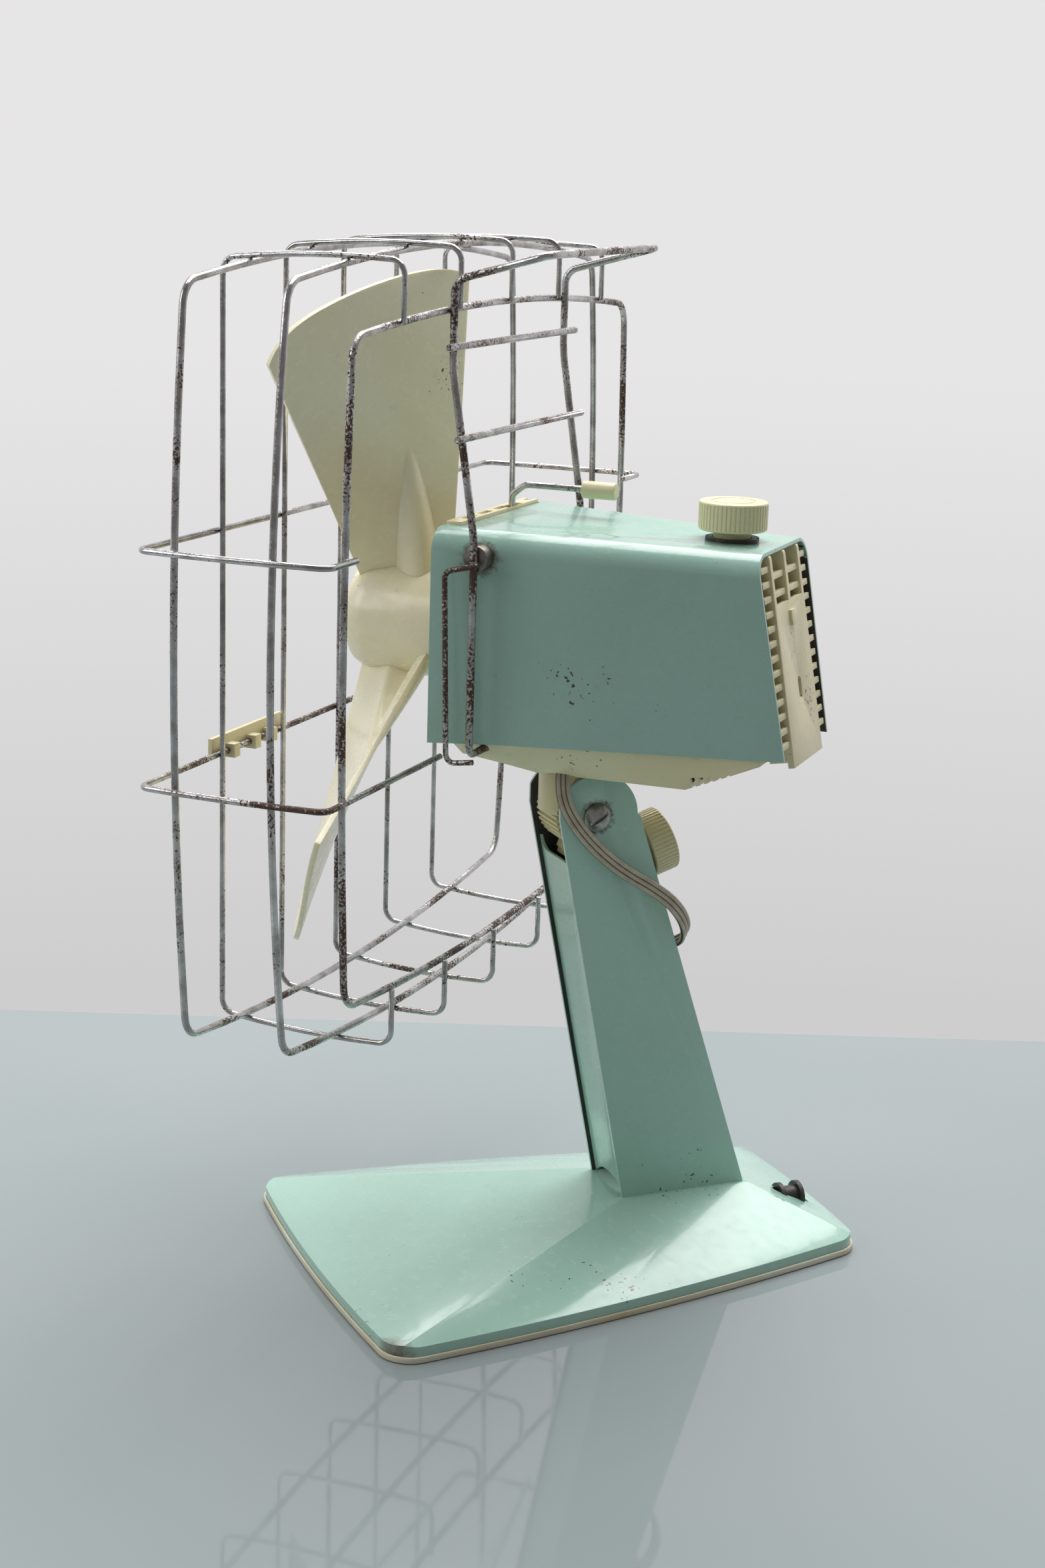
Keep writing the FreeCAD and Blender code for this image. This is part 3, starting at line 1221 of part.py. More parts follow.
def side_hooks():
    """Two C-shaped side wires that hook from each boss down to the upright's foot."""
    hooks = []
    for s in (1, -1):
        x = s * (v.stay_half + (v.stay_wire + v.guard_wire) / 2)
        line = [Vector(x, boss_y + 2.5, boss_z - 1.5), Vector(x, boss_y - 9.5, boss_z - 4.5),
                Vector(x, boss_y - 7.5, stay_foot_z - 3.0),
                Vector(x, boss_y + 2.5, stay_foot_z - 1.5)]
        hooks.append(rod(bent_line(line, 3.0), v.guard_wire))
    return Part.makeCompound(hooks)


node("guard_hooks", made(side_hooks()), "head")


def stay_bosses():
    """A turned boss and stud through each side of the shell; the uprights are welded to them."""
    bosses = []
    outside = head_half(boss_y)
    reach = v.stay_half - v.stay_wire / 2 + v.weld_bite - outside
    for s in (1, -1):
        face = Part.makeCylinder(4.3, reach + 1.0, Vector(s * (outside - 1.0), boss_y, boss_z), X * s)
        stud = Part.makeCylinder(2.1, 12, Vector(s * (outside - 10), boss_y, boss_z), X * s)
        bosses.append(face.fuse(stud).cut(head_block(0).cut(head_block(v.head_wall, 1.0))).fuse(stud))
    return Part.makeCompound(bosses)


node("stay_bosses", made(stay_bosses()), "head")


def badge_clip():
    """Blank cream clip on the lower band's front: a bar with three hooks round the wire."""
    y, z = v.guard_front_y - (v.band_wire + v.guard_wire) / 2 + v.weld_bite, v.lower_band_z
    r = v.band_wire / 2
    bar = Part.makeBox(50, 1.5, 7.0, Vector(39, y - r - 1.6, z - 1.5))
    body = bar
    for x in (49.0, 61.0, 76.0):
        hook = Part.makeBox(4, 2 * r + 2.4, 2 * r + 2.6, Vector(x, y - r - 0.9, z - r - 1.3))
        body = body.fuse(hook)
    return body.cut(Part.makeCylinder(r + 0.02, 80, Vector(30, y, z), X))


node("badge_clip", made(badge_clip()), "head")

# ---------------------------------------------------------------- flex from the neck to the column

def clamp_block():
    """Small cord clamp on the turret's rim."""
    block = Part.makeBox(8.6, 6.2, 2.8, Vector(8.5, -16.8, v.tray_low + v.tray_wall + 0.35))
    rim = Part.makeCylinder(v.turret_radius, 20, Vector(0, 0, v.turret_low - 2))
    start = flex_points[0] - Vector(0, v.tilt_y, v.tilt_z)
    heading = (flex_points[1] - flex_points[0]).normalize()
    run = Part.makeCylinder(v.flex_dia / 2 + 0.05, 20, start - heading * 10, heading)
    return block.cut([rim, run])


flex_points = [Vector(14.4, -15.4, 188.2), Vector(15.5, -16.6, 180.8), Vector(17.4, -15.8, 172.3),
               Vector(18.6, -10.5, 163.5),
               Vector(18.6, -2.2, 154.5), Vector(18.6, 7.8, 146.4), Vector(18.8, 19.2, 139.8),
               Vector(19.2, 29.8, 133.0), Vector(18.0, 36.6, 124.4), Vector(12.6, 38.6, 117.2),
               Vector(5.2, 35.2, 113.4), Vector(0.0, 28.6, 110.6)]


def flex_radii(points):
    """Largest tangent arc that each corner's two runs allow."""
    radii = []
    for i in range(1, len(points) - 1):
        before = points[i - 1] - points[i]
        after = points[i + 1] - points[i]
        half_turn = (math.pi - before.getAngle(after)) / 2
        radii.append(0.45 * min(before.Length, after.Length) / math.tan(half_turn))
    return radii


radii = flex_radii(flex_points)
print("flex radii mm", [round(r, 1) for r in radii])
flex_line = bent_line(flex_points, radii)
flex = rod(flex_line, v.flex_dia)
flex_length = sum(edge.Length for edge in flex_line)
print("flex length mm", round(flex_length, 1), "volume share",
      round(flex.Volume / (flex_length * math.pi * (v.flex_dia / 2) ** 2), 4))
node("flex", made(flex))
node("flex_clamp", made(clamp_block()), "neck")


def flex_clip():
    """P-clip on the inside of the column's web that takes the flex's lower end."""
    end = flex_points[-1]
    heading = (flex_points[-1] - flex_points[-2]).normalize()
    web = v.column_wall * math.sqrt(1 + v.front_lean ** 2)
    web_y = v.column_foot_front - v.front_lean * (end.z - v.base_top) + v.web_setback + web
    block = Part.makeBox(11, end.y + 3.5 - web_y - 1.2, 6, Vector(-5.5, web_y + 1.2, end.z - 3.4))
    return block.cut(Part.makeCylinder(v.flex_dia / 2 + 0.1, 30, end - heading * 15, heading))


node("flex_clip", made(flex_clip()))

# ---------------------------------------------------------------- check and write

doc.recompute()
for thing in doc.Objects:
    if "Invalid" in thing.State or "Error" in thing.State:
        raise RuntimeError("%s failed: %s" % (thing.Label, thing.State))
os.makedirs("parts", exist_ok=True)
for name, part in NODES.items():
    shape = part.Shape
    if shape.isNull() or not shape.isValid() or not shape.Solids:
        raise RuntimeError("%s has no valid solid" % name)
    shape.exportStep("parts/%s.step" % name)
    print("%-20s %2d solids %10.1f mm3" % (name, len(shape.Solids), shape.Volume))
print(len(NODES), "nodes")
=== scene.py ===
import json
import math

import bpy
from mathutils import Euler, Matrix, Vector


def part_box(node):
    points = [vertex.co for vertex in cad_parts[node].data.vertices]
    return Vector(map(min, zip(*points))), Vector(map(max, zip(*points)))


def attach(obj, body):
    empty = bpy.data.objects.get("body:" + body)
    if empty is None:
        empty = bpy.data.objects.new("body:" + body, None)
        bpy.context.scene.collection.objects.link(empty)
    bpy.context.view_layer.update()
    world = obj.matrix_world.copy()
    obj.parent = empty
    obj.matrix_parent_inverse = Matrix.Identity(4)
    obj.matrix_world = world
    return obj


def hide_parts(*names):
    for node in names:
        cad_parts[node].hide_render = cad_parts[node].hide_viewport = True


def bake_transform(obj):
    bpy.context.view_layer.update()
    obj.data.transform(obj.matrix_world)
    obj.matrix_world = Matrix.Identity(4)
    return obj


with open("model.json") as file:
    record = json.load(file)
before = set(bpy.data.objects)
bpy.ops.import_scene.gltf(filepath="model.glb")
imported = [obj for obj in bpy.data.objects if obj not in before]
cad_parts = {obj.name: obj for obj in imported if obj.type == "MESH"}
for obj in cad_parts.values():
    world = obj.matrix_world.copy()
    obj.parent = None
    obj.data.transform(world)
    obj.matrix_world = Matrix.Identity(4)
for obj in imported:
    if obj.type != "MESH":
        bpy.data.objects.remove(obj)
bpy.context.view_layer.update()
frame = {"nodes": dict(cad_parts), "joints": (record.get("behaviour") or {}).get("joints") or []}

bpy.ops.object.select_all(action="DESELECT")

# ---------------------------------------------------------------- camera
# A portrait view from the near side, a little above the fan and level with its guard's top.
bpy.ops.object.camera_add(location=(0.7872, -0.3587, 0.3926))
camera = bpy.context.object
camera.rotation_euler = Euler([math.radians(turn) for turn in (75.803, -1.726, 67.446)])
camera.data.lens = 57.4
camera.data.sensor_width = 36
camera.data.clip_start = 0.01
bpy.context.scene.camera = camera

# ---------------------------------------------------------------- flat flex
# Three-core flat flex, 5.4 mm wide and moulded in grey-cream vinyl with two grooves down it. It comes
# down from the clamp on the neck, hangs beside the column, and goes round its rear edge and into it.
flex_width = 0.0054
flex_route = [
    (0.0145, -0.0155, 0.1874), (0.0155, -0.0166, 0.1808), (0.0174, -0.0158, 0.1723),
    (0.0186, -0.0105, 0.1635), (0.0186, -0.0022, 0.1545), (0.0186, 0.0078, 0.1464),
    (0.0188, 0.0188, 0.1398), (0.0192, 0.0278, 0.1330), (0.0182, 0.0332, 0.1252),
    (0.0134, 0.0354, 0.1182), (0.0062, 0.0334, 0.1138), (0.0, 0.0286, 0.1106)]
flex_line = bpy.data.curves.new("flex", "CURVE")
flex_line.dimensions = "3D"
flex_line.resolution_u = 10
run = flex_line.splines.new("NURBS")
run.points.add(len(flex_route) - 1)
for point, place in zip(run.points, flex_route):
    point.co = (*place, 1.0)
run.order_u = 3
run.use_endpoint_u = True
flex_curve = bpy.data.objects.new("flex_route", flex_line)
bpy.context.collection.objects.link(flex_curve)
bare_line = bpy.data.meshes.new_from_object(flex_curve)
flex_path = [v.co.copy() for v in bare_line.vertices]

# the flex's section: three cores side by side, merged a little, with a groove at each meeting
core_radius = flex_width / 6
core_steps = 9
core_bulge = 1.12
core_overlap = 0.96
groove_corner, groove_span = 0.06, 0.88
ring_shape = []
for side in (1, -1):
    for core in (1, 0, -1):
        for step in range(core_steps):
            turn = math.pi * (groove_corner + groove_span * step / (core_steps - 1))
            outer_edge = (core == 1 and step == 0) or (core == -1 and step == core_steps - 1)
            if side == 1 and outer_edge:
                turn = math.pi * step / (core_steps - 1)
            across = core * core_radius * 2 * core_overlap + core_radius * math.cos(turn)
            ring_shape.append((side * across, side * core_radius * math.sin(turn) * core_bulge))
flex_ring = len(ring_shape)

# the flat side lies against the column's side, and turns to its rear edge near the lower end
verts, faces = [], []
column_side = Vector((1.0, 0.0, 0.0))
column_rear = Vector((0.35, 0.9, -0.45))
turns_from, turns_over = 0.66, 0.2
for i, place in enumerate(flex_path):
    before = flex_path[max(i - 1, 0)]
    after = flex_path[min(i + 1, len(flex_path) - 1)]
    heading = (after - before).normalized()
    out = column_side - heading * column_side.dot(heading)
    share = i / (len(flex_path) - 1)
    round_edge = max(0.0, min(1.0, (share - turns_from) / turns_over))
    rearward = column_rear - heading * column_rear.dot(heading)
    out = (out.normalized() * (1 - round_edge) + rearward.normalized() * round_edge).normalized()
    wide = heading.cross(out)
    verts += [place + wide * across + out * height for across, height in ring_shape]
for i in range(len(flex_path) - 1):
    for j in range(flex_ring):
        k = (j + 1) % flex_ring
        faces.append((i * flex_ring + j, i * flex_ring + k, (i + 1) * flex_ring + k, (i + 1) * flex_ring + j))
faces.append(tuple(reversed(range(flex_ring))))
faces.append(tuple(range(len(verts) - flex_ring, len(verts))))
flex_mesh = bpy.data.meshes.new("flex_cable")
flex_mesh.from_pydata(verts, [], faces)
flex_cable = bpy.data.objects.new("flex_cable", flex_mesh)
bpy.context.collection.objects.link(flex_cable)
# Painted shade: a value per point, 0 on the cores' crowns and 1 in the grooves and at the flat edges, by
# which the vinyl is darkened there.
groove_shade_layer = flex_mesh.attributes.new("groove_shade", "FLOAT", "POINT")
for i in range(len(verts)):
    groove_shade_layer.data[i].value = 1 - abs(ring_shape[i % flex_ring][1]) / (core_radius * core_bulge)
bpy.data.objects.remove(flex_curve)


def work_on(piece):
    """Make one piece the only selected and active one."""
    bpy.ops.object.select_all(action="DESELECT")
    bpy.context.view_layer.objects.active = piece
    piece.select_set(True)


def smooth(piece, degrees=35):
    """Shade a piece smooth where its faces meet at less than an angle."""
    work_on(piece)
    bpy.ops.object.shade_smooth_by_angle(angle=math.radians(degrees))


def outward(piece):
    """Merge doubles and turn every face outwards."""
    work_on(piece)
    bpy.ops.object.mode_set(mode="EDIT")
    bpy.ops.mesh.select_all(action="SELECT")
    bpy.ops.mesh.remove_doubles(threshold=1e-6)
    bpy.ops.mesh.normals_make_consistent(inside=False)
    bpy.ops.object.mode_set(mode="OBJECT")


outward(flex_cable)
smooth(flex_cable, 60)


def finish_of(name, colour, roughness, metallic=0.0, coat=0.0):
    """A Principled finish, with its nodes and its object coordinates ready for a pattern."""
    made = bpy.data.materials.new(name)
    made.use_nodes = True
    nodes = made.node_tree.nodes
    shader = nodes["Principled BSDF"]
    shader.inputs["Base Color"].default_value = (*colour, 1)
    shader.inputs["Roughness"].default_value = roughness
    shader.inputs["Metallic"].default_value = metallic
    shader.inputs["Coat Weight"].default_value = coat
    shader.inputs["Coat Roughness"].default_value = 0.08
    where = nodes.new("ShaderNodeTexCoord")
    return made, shader, where.outputs["Object"]


def grain(made, where, scale, detail=3.0, roughness=0.55, stretch=(1, 1, 1)):
    """Noise at a scale in features per metre."""
    nodes, links = made.node_tree.nodes, made.node_tree.links
    mapping = nodes.new("ShaderNodeMapping")
    mapping.inputs["Scale"].default_value = stretch
    noise = nodes.new("ShaderNodeTexNoise")
    noise.inputs["Scale"].default_value = scale
    noise.inputs["Detail"].default_value = detail
    noise.inputs["Roughness"].default_value = roughness
    links.new(where, mapping.inputs["Vector"])
    links.new(mapping.outputs["Vector"], noise.inputs["Vector"])
    return noise.outputs["Fac"]


def between(made, fac, low, high, first, second):
    """Turn a pattern between two thresholds into a mask, and mix two colours or numbers by it."""
    nodes, links = made.node_tree.nodes, made.node_tree.links
    mask = nodes.new("ShaderNodeMapRange")
    mask.inputs["From Min"].default_value = low
    mask.inputs["From Max"].default_value = high
    links.new(fac, mask.inputs["Value"])
    mix = nodes.new("ShaderNodeMix")
    if hasattr(second, "__len__") or hasattr(first, "links"):
        mix.data_type = "RGBA"
        ends = (mix.inputs[6], mix.inputs[7])
        result = mix.outputs[2]
    else:
        ends = (mix.inputs[2], mix.inputs[3])
        result = mix.outputs[0]
    for socket, value in zip(ends, (first, second)):
        if hasattr(value, "links"):
            links.new(value, socket)
        elif hasattr(value, "__len__"):
            socket.default_value = (*value, 1)
        else:
            socket.default_value = value
    links.new(mask.outputs["Result"], mix.inputs[0])
    return result


def shade(made, shader, socket, fac, low, high, first, second):
    """Lead a pattern between two colours or numbers into one of the finish's sockets."""
    made.node_tree.links.new(between(made, fac, low, high, first, second), shader.inputs[socket])


def relief(made, shader, fac, height, strength=1.0):
    """Bump from a pattern, of that height in metres."""
    nodes, links = made.node_tree.nodes, made.node_tree.links
    bump = nodes.new("ShaderNodeBump")
    bump.inputs["Distance"].default_value = height
    bump.inputs["Strength"].default_value = strength
    links.new(fac, bump.inputs["Height"])
    if shader.inputs["Normal"].links:
        links.new(shader.inputs["Normal"].links[0].from_socket, bump.inputs["Normal"])
    links.new(bump.outputs["Normal"], shader.inputs["Normal"])


def join(made, output, socket):
    """Lead one node's output into a socket."""
    made.node_tree.links.new(output, socket)


def give(piece, made):
    """Put one finish on a piece or on a CAD node."""
    if isinstance(piece, str):
        piece = frame["nodes"][piece]
    piece.data.materials.clear()
    piece.data.materials.append(made)


vinyl, vinyl_shader, vinyl_where = finish_of("flex_vinyl", (0.40, 0.34, 0.25), 0.36, coat=0.15)
handled = grain(vinyl, vinyl_where, 160, 4)
ridge = between(vinyl, handled, 0.35, 0.68, (0.60, 0.54, 0.43), (0.44, 0.37, 0.27))
# Painted shade: the vinyl's colour goes to near-black towards the grooves and the flat edges, where shade
# falls.
groove_shade = vinyl.node_tree.nodes.new("ShaderNodeAttribute")
groove_shade.attribute_name = "groove_shade"
shade(vinyl, vinyl_shader, "Base Color", groove_shade.outputs["Fac"], 0.30, 0.75, ridge, (0.035, 0.024, 0.016))
shade(vinyl, vinyl_shader, "Roughness", grain(vinyl, vinyl_where, 700, 2), 0.3, 0.7, 0.28, 0.5)
relief(vinyl, vinyl_shader, grain(vinyl, vinyl_where, 1400, 2), 0.00003)
give(flex_cable, vinyl)
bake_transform(flex_cable)
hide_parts("flex")

# ---------------------------------------------------------------- table, backdrop and lights
# A pale, slightly glossy table top whose far edge lies a little way behind the fan, a white
# surround, and large soft lamps over the camera's left, above and to the right.
view_heading = Vector((-0.921, 0.390, 0.0))
table_across, table_back, table_front, table_thick = 3.2, 0.235, 1.6, 0.02
table_gap = 0.0002
bpy.ops.mesh.primitive_cube_add(size=1)
table = bpy.context.object
table.name = "table_top"
table.scale = (table_across, table_back + table_front, table_thick)
table.rotation_euler = (0, 0, math.atan2(-view_heading.x, view_heading.y))
table.location = (view_heading * (table_back - table_front) / 2
                  + Vector((0, 0, -table_thick / 2 - table_gap)))
bpy.ops.object.transform_apply()
table_edge = table.modifiers.new("rounded edge", "BEVEL")
table_edge.width = 0.003
table_edge.segments = 3
laminate, laminate_shader, laminate_where = finish_of("table_laminate", (0.30, 0.35, 0.355), 0.04)
clouded = grain(laminate, laminate_where, 3, 2)
shade(laminate, laminate_shader, "Base Color", clouded, 0.2, 0.8, (0.315, 0.355, 0.36), (0.26, 0.305, 0.31))
give(table, laminate)

world = bpy.data.worlds.new("white_studio")
bpy.context.scene.world = world
world.use_nodes = True
sky = world.node_tree
backdrop = sky.nodes["Background"]
backdrop.inputs["Color"].default_value = (1.0, 0.985, 0.995, 1)
direction = sky.nodes.new("ShaderNodeTexCoord")
facing = sky.nodes.new("ShaderNodeVectorMath")
facing.operation = "DOT_PRODUCT"
facing.inputs[1].default_value = view_heading
height = sky.nodes.new("ShaderNodeSeparateXYZ")


def fade(tree, start, end, first, second):
    """A range of values led into another range."""
    ramp = tree.nodes.new("ShaderNodeMapRange")
    ramp.inputs["From Min"].default_value = start
    ramp.inputs["From Max"].default_value = end
    ramp.inputs["To Min"].default_value = first
    ramp.inputs["To Max"].default_value = second
    return ramp


rear_glow = fade(sky, -0.35, 0.60, 0.23, 0.80)
low_fade = fade(sky, -0.32, -0.08, 0.78, 1.0)
brightness = sky.nodes.new("ShaderNodeMath")
brightness.operation = "MULTIPLY"
sky.links.new(direction.outputs["Generated"], facing.inputs[0])
sky.links.new(direction.outputs["Generated"], height.inputs[0])
sky.links.new(facing.outputs["Value"], rear_glow.inputs["Value"])
sky.links.new(height.outputs["Z"], low_fade.inputs["Value"])
sky.links.new(rear_glow.outputs["Result"], brightness.inputs[0])
sky.links.new(low_fade.outputs["Result"], brightness.inputs[1])
sky.links.new(brightness.outputs["Value"], backdrop.inputs["Strength"])
bpy.context.scene.view_settings.view_transform = "Standard"

lit_point = Vector((0, 0, 0.15))
for name, place, size, power in (
        ("side_lamp", (-0.10, -1.40, 0.95), 0.9, 7), ("top_lamp", (-0.45, 0.30, 1.50), 1.4, 32)):
    bpy.ops.object.light_add(type="AREA", location=place)
    lamp = bpy.context.object
    lamp.name = name
    lamp.data.size = size
    lamp.data.energy = power
    lamp.rotation_euler = (lit_point - Vector(place)).to_track_quat("-Z", "Y").to_euler()

# ---------------------------------------------------------------- mint pressings
# Base shell, column and head shell are pressed from 1.2 mm steel and stove-enamelled in mint green.
# Folded edges are slightly rounded and the enamel has chipped to brown; the insides of column and head shell
# are painted near-black as shade.


def pressed_copy(node, name, body, edge=0.0003, sharp=28, segments=2, smooth_angle=40):
    """A merged copy of a CAD node with its sharp edges rounded, which stands for the node."""
    source = frame["nodes"][node]
    piece = bpy.data.objects.new(name, source.data.copy())
    piece.data.name = name
    bpy.context.collection.objects.link(piece)
    work_on(piece)
    bpy.ops.object.mode_set(mode="EDIT")
    bpy.ops.mesh.select_all(action="SELECT")
    bpy.ops.mesh.remove_doubles(threshold=2e-6)
    bpy.ops.mesh.dissolve_limited(angle_limit=math.radians(0.4))
    bpy.ops.object.mode_set(mode="OBJECT")
    if edge:
        rounding = piece.modifiers.new("rounded edges", "BEVEL")
        rounding.width = edge
        rounding.segments = segments
        rounding.limit_method = "ANGLE"
        rounding.angle_limit = math.radians(sharp)
        rounding.use_clamp_overlap = True
        rounding.harden_normals = False
        bpy.ops.object.modifier_apply(modifier=rounding.name)
    smooth(piece, smooth_angle)
    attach(piece, body)
    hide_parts(node)
    return piece


def speckled(made, where, broad, fine, mixed=0.5):
    """A broad and a fine noise added, so that specks gather in patches."""
    nodes, links = made.node_tree.nodes, made.node_tree.links
    weigh = nodes.new("ShaderNodeMix")
    weigh.inputs[0].default_value = mixed
    links.new(grain(made, where, broad, 3), weigh.inputs[2])
    links.new(grain(made, where, fine, 2), weigh.inputs[3])
    return weigh.outputs[0]


def halo(made, where, place, near, far, ragged=0.0016):
    """Full within the near distance of a point and nothing beyond the far one, with a ragged edge."""
    nodes, links = made.node_tree.nodes, made.node_tree.links
    distance = nodes.new("ShaderNodeVectorMath")
    distance.operation = "DISTANCE"
    distance.inputs[1].default_value = place
    links.new(where, distance.inputs[0])
    rough_edge = nodes.new("ShaderNodeMath")
    rough_edge.operation = "MULTIPLY_ADD"
    rough_edge.inputs[1].default_value = ragged * 4
    links.new(grain(made, where, 500, 4), rough_edge.inputs[0])
    links.new(distance.outputs["Value"], rough_edge.inputs[2])
    fall = nodes.new("ShaderNodeMapRange")
    fall.inputs["From Min"].default_value = far + ragged * 2
    fall.inputs["From Max"].default_value = near + ragged * 2
    links.new(rough_edge.outputs["Value"], fall.inputs["Value"])
    return fall.outputs["Result"]


def enamel(name, tone, chips, rusts=()):
    """Mint stove enamel: faint orange peel, mottling, brown chips by amount, and rust round fixings."""
    made, shader, where = finish_of(name, tone, 0.22, coat=0.4)
    colour = between(made, grain(made, where, 18, 4), 0.3, 0.72, tone, [c * 1.09 for c in tone])
    colour = between(made, grain(made, where, 70, 6, 0.7), 0.62, 0.82, colour, [c * 0.80 for c in tone])
    rust_brown = (0.075, 0.038, 0.020)
    colour = between(made, speckled(made, where, 26, 620), 0.680 - chips, 0.686 - chips, colour, rust_brown)
    for place, near, far in rusts:
        colour = between(made, halo(made, where, place, near, far), 0.0, 1.0, colour, (0.13, 0.085, 0.05))
    join(made, colour, shader.inputs["Base Color"])
    shade(made, shader, "Roughness", grain(made, where, 240, 3), 0.3, 0.75, 0.18, 0.32)
    relief(made, shader, grain(made, where, 900, 2), 0.00002)
    relief(made, shader, grain(made, where, 30, 2), 0.0003, 0.3)
    return made


mint = (0.36, 0.57, 0.485)
low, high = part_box("column")
column_face = high.x
flex_rub = Vector((column_face, 0.0315, 0.128))
low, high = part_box("tilt_screw")
screw_middle = Vector((column_face, (low.y + high.y) / 2, (low.z + high.z) / 2))
low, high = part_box("base_shell")
rear_corner_rust = Vector((high.x * 0.66, high.y, low.z))
front_corner_rust = Vector((high.x, low.y, low.z))
base_enamel = enamel("base_enamel", mint, 0.0,
                     [(rear_corner_rust, 0.002, 0.005), (front_corner_rust, 0.006, 0.013)])
# Painted light: the column's enamel is the same mint made 12 % lighter, standing for light on its shaded
# side.
column_enamel_painted_light = enamel("column_enamel_painted_light", [c * 1.12 for c in mint], 0.016,
                       [(screw_middle, 0.0046, 0.0070), (flex_rub, 0.001, 0.0035)])
low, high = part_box("stay_bosses")
near_boss = Vector((high.x - 0.003, low.y + 0.004, (low.z + high.z) / 2))
# Painted shade: the head shell's enamel is the same mint made 12 % darker, standing for the shade on its
# sides.
head_enamel_painted_shade = enamel("head_enamel_painted_shade", [c * 0.88 for c in mint], 0.006, [(near_boss, 0.0055, 0.0085)])
base = pressed_copy("base_shell", "pressed_base", "stand", edge=0.0009, sharp=7, segments=3,
                    smooth_angle=50)
give(base, base_enamel)
column = pressed_copy("column", "folded_column", "stand", edge=0.0004, sharp=40, segments=2)
give(column, column_enamel_painted_light)
shell = pressed_copy("head_shell", "head_shell_cover", "head", edge=0.00035, sharp=32, segments=2)
give(shell, head_enamel_painted_shade)


def paint_inner_shade(piece, inner_shade_finish):
    """Painted shade: faces of a pressing that look across at its other side are given a near-black finish."""
    piece.data.materials.append(inner_shade_finish)
    smallest, clear_of_face, widest = 2e-6, 0.0004, 0.12
    for face in piece.data.polygons:
        start = face.center + face.normal * clear_of_face
        if face.area > smallest and piece.ray_cast(start, face.normal, distance=widest)[0]:
            face.material_index = 1


# Painted shade: a near-black, slightly uneven finish that stands for the shade inside the pressings.
inner_shade, inner_shade_shader, inner_shade_where = finish_of("painted_inner_shade", (0.03, 0.032, 0.029), 0.6)
uneven = grain(inner_shade, inner_shade_where, 120, 4)
shade(inner_shade, inner_shade_shader, "Base Color", uneven, 0.35, 0.7, (0.022, 0.023, 0.021), (0.055, 0.052, 0.045))
relief(inner_shade, inner_shade_shader, grain(inner_shade, inner_shade_where, 900, 2), 0.00003)
for pressing in (column, shell):
    paint_inner_shade(pressing, inner_shade)

# ---------------------------------------------------------------- cream mouldings
# Edge strip, neck, front frame, tray, grille, knobs, lever tip and badge clip are moulded in cream
# plastic that has yellowed unevenly, with fine scratches and darker dusty patches.


def cream(name, colour, old, roughness=0.34):
    """Yellowed moulded plastic: uneven tone, brown specks and a fine rubbed surface."""
    made, shader, where = finish_of(name, colour, roughness, coat=0.15)
    shader.inputs["Subsurface Weight"].default_value = 0.06
    shader.inputs["Subsurface Radius"].default_value = (0.002, 0.0016, 0.001)
    tone = between(made, grain(made, where, 22, 4), 0.3, 0.72, colour, old)
    dusty = between(made, grain(made, where, 130, 6, 0.7), 0.64, 0.80, tone, [c * 0.72 for c in old])
    speck = between(made, speckled(made, where, 30, 700), 0.690, 0.697, dusty, (0.12, 0.08, 0.05))
    join(made, speck, shader.inputs["Base Color"])
    shade(made, shader, "Roughness", grain(made, where, 300, 3), 0.3, 0.7, roughness - 0.08,
          roughness + 0.14)
    relief(made, shader, grain(made, where, 1500, 2), 0.00002)
    return made


cream_plastic = cream("cream_plastic", (0.76, 0.70, 0.46), (0.72, 0.64, 0.37))
strip_plastic = cream("strip_vinyl", (0.74, 0.72, 0.60), (0.60, 0.52, 0.33), 0.42)
mouldings = [
    ("base_edge_strip", "edge_strip_vinyl", "stand", 0.0003), ("neck", "neck_moulding", "neck", 0.00018),
    ("front_frame", "front_frame_moulding", "head", 0.0003),
    ("bottom_tray", "bottom_tray_moulding", "head", 0.0003),
    ("rear_grille", "rear_grille_moulding", "head", 0.0003),
    ("flex_clamp", "flex_clamp_moulding", "neck", 0.0003),
    ("lever_tip", "lever_grip", "lever", 0.0003), ("badge_clip", "badge_clip_moulding", "head", 0.0003)]
for node, name, body, edge in mouldings:
    piece = pressed_copy(node, name, body, edge=edge, sharp=30)
    give(piece, strip_plastic if node == "base_edge_strip" else cream_plastic)

# ---------------------------------------------------------------- control knobs
# The switch knob on the head and the tilt knob behind the neck are the same fluted cream moulding,
# with a ring sunk in the face and a darker push-on shank under it.
knob_plastic = cream("knob_plastic", (0.78, 0.73, 0.48), (0.72, 0.65, 0.38), 0.30)
for node, name, body in (("switch_knob", "switch_knob_fluted", "switch"),
                         ("tilt_knob", "tilt_knob_fluted", "tilt_drive")):
    knob = pressed_copy(node, name, body, edge=0.00012, sharp=32, segments=2, smooth_angle=45)
    give(knob, knob_plastic)

# ---------------------------------------------------------------- fan blades
# One injection moulding: a hub with a coned nose and three twisted paddles 2 mm thick, each with a
# tapered rib that runs out from the hub along its back.
fan_body = next(joint for joint in frame["joints"] if joint["name"] == "rotor")
fan_axis = Vector(fan_body["axis"])
fan_place = Vector(fan_body["pos_m"])
head_turn = Matrix.Rotation(math.atan2(-fan_axis.x, fan_axis.y), 4, "Z")
head_frame = Matrix.Translation(fan_place) @ head_turn
fan_radius, hub_radius = 0.1245, 0.021
front_y, rear_y, hub_rear_y = -0.090, -0.051, -0.0435
start_angle, end_angle = math.radians(53), math.radians(92)
blade_bow, front_corner, rear_corner = 0.002, 0.008, 0.003
root_sink, root_back, root_rise = 0.004, 0.007, 0.009
rib_height, rib_middle, rib_half, rib_reach = 0.0085, 0.60, 0.24, 0.44


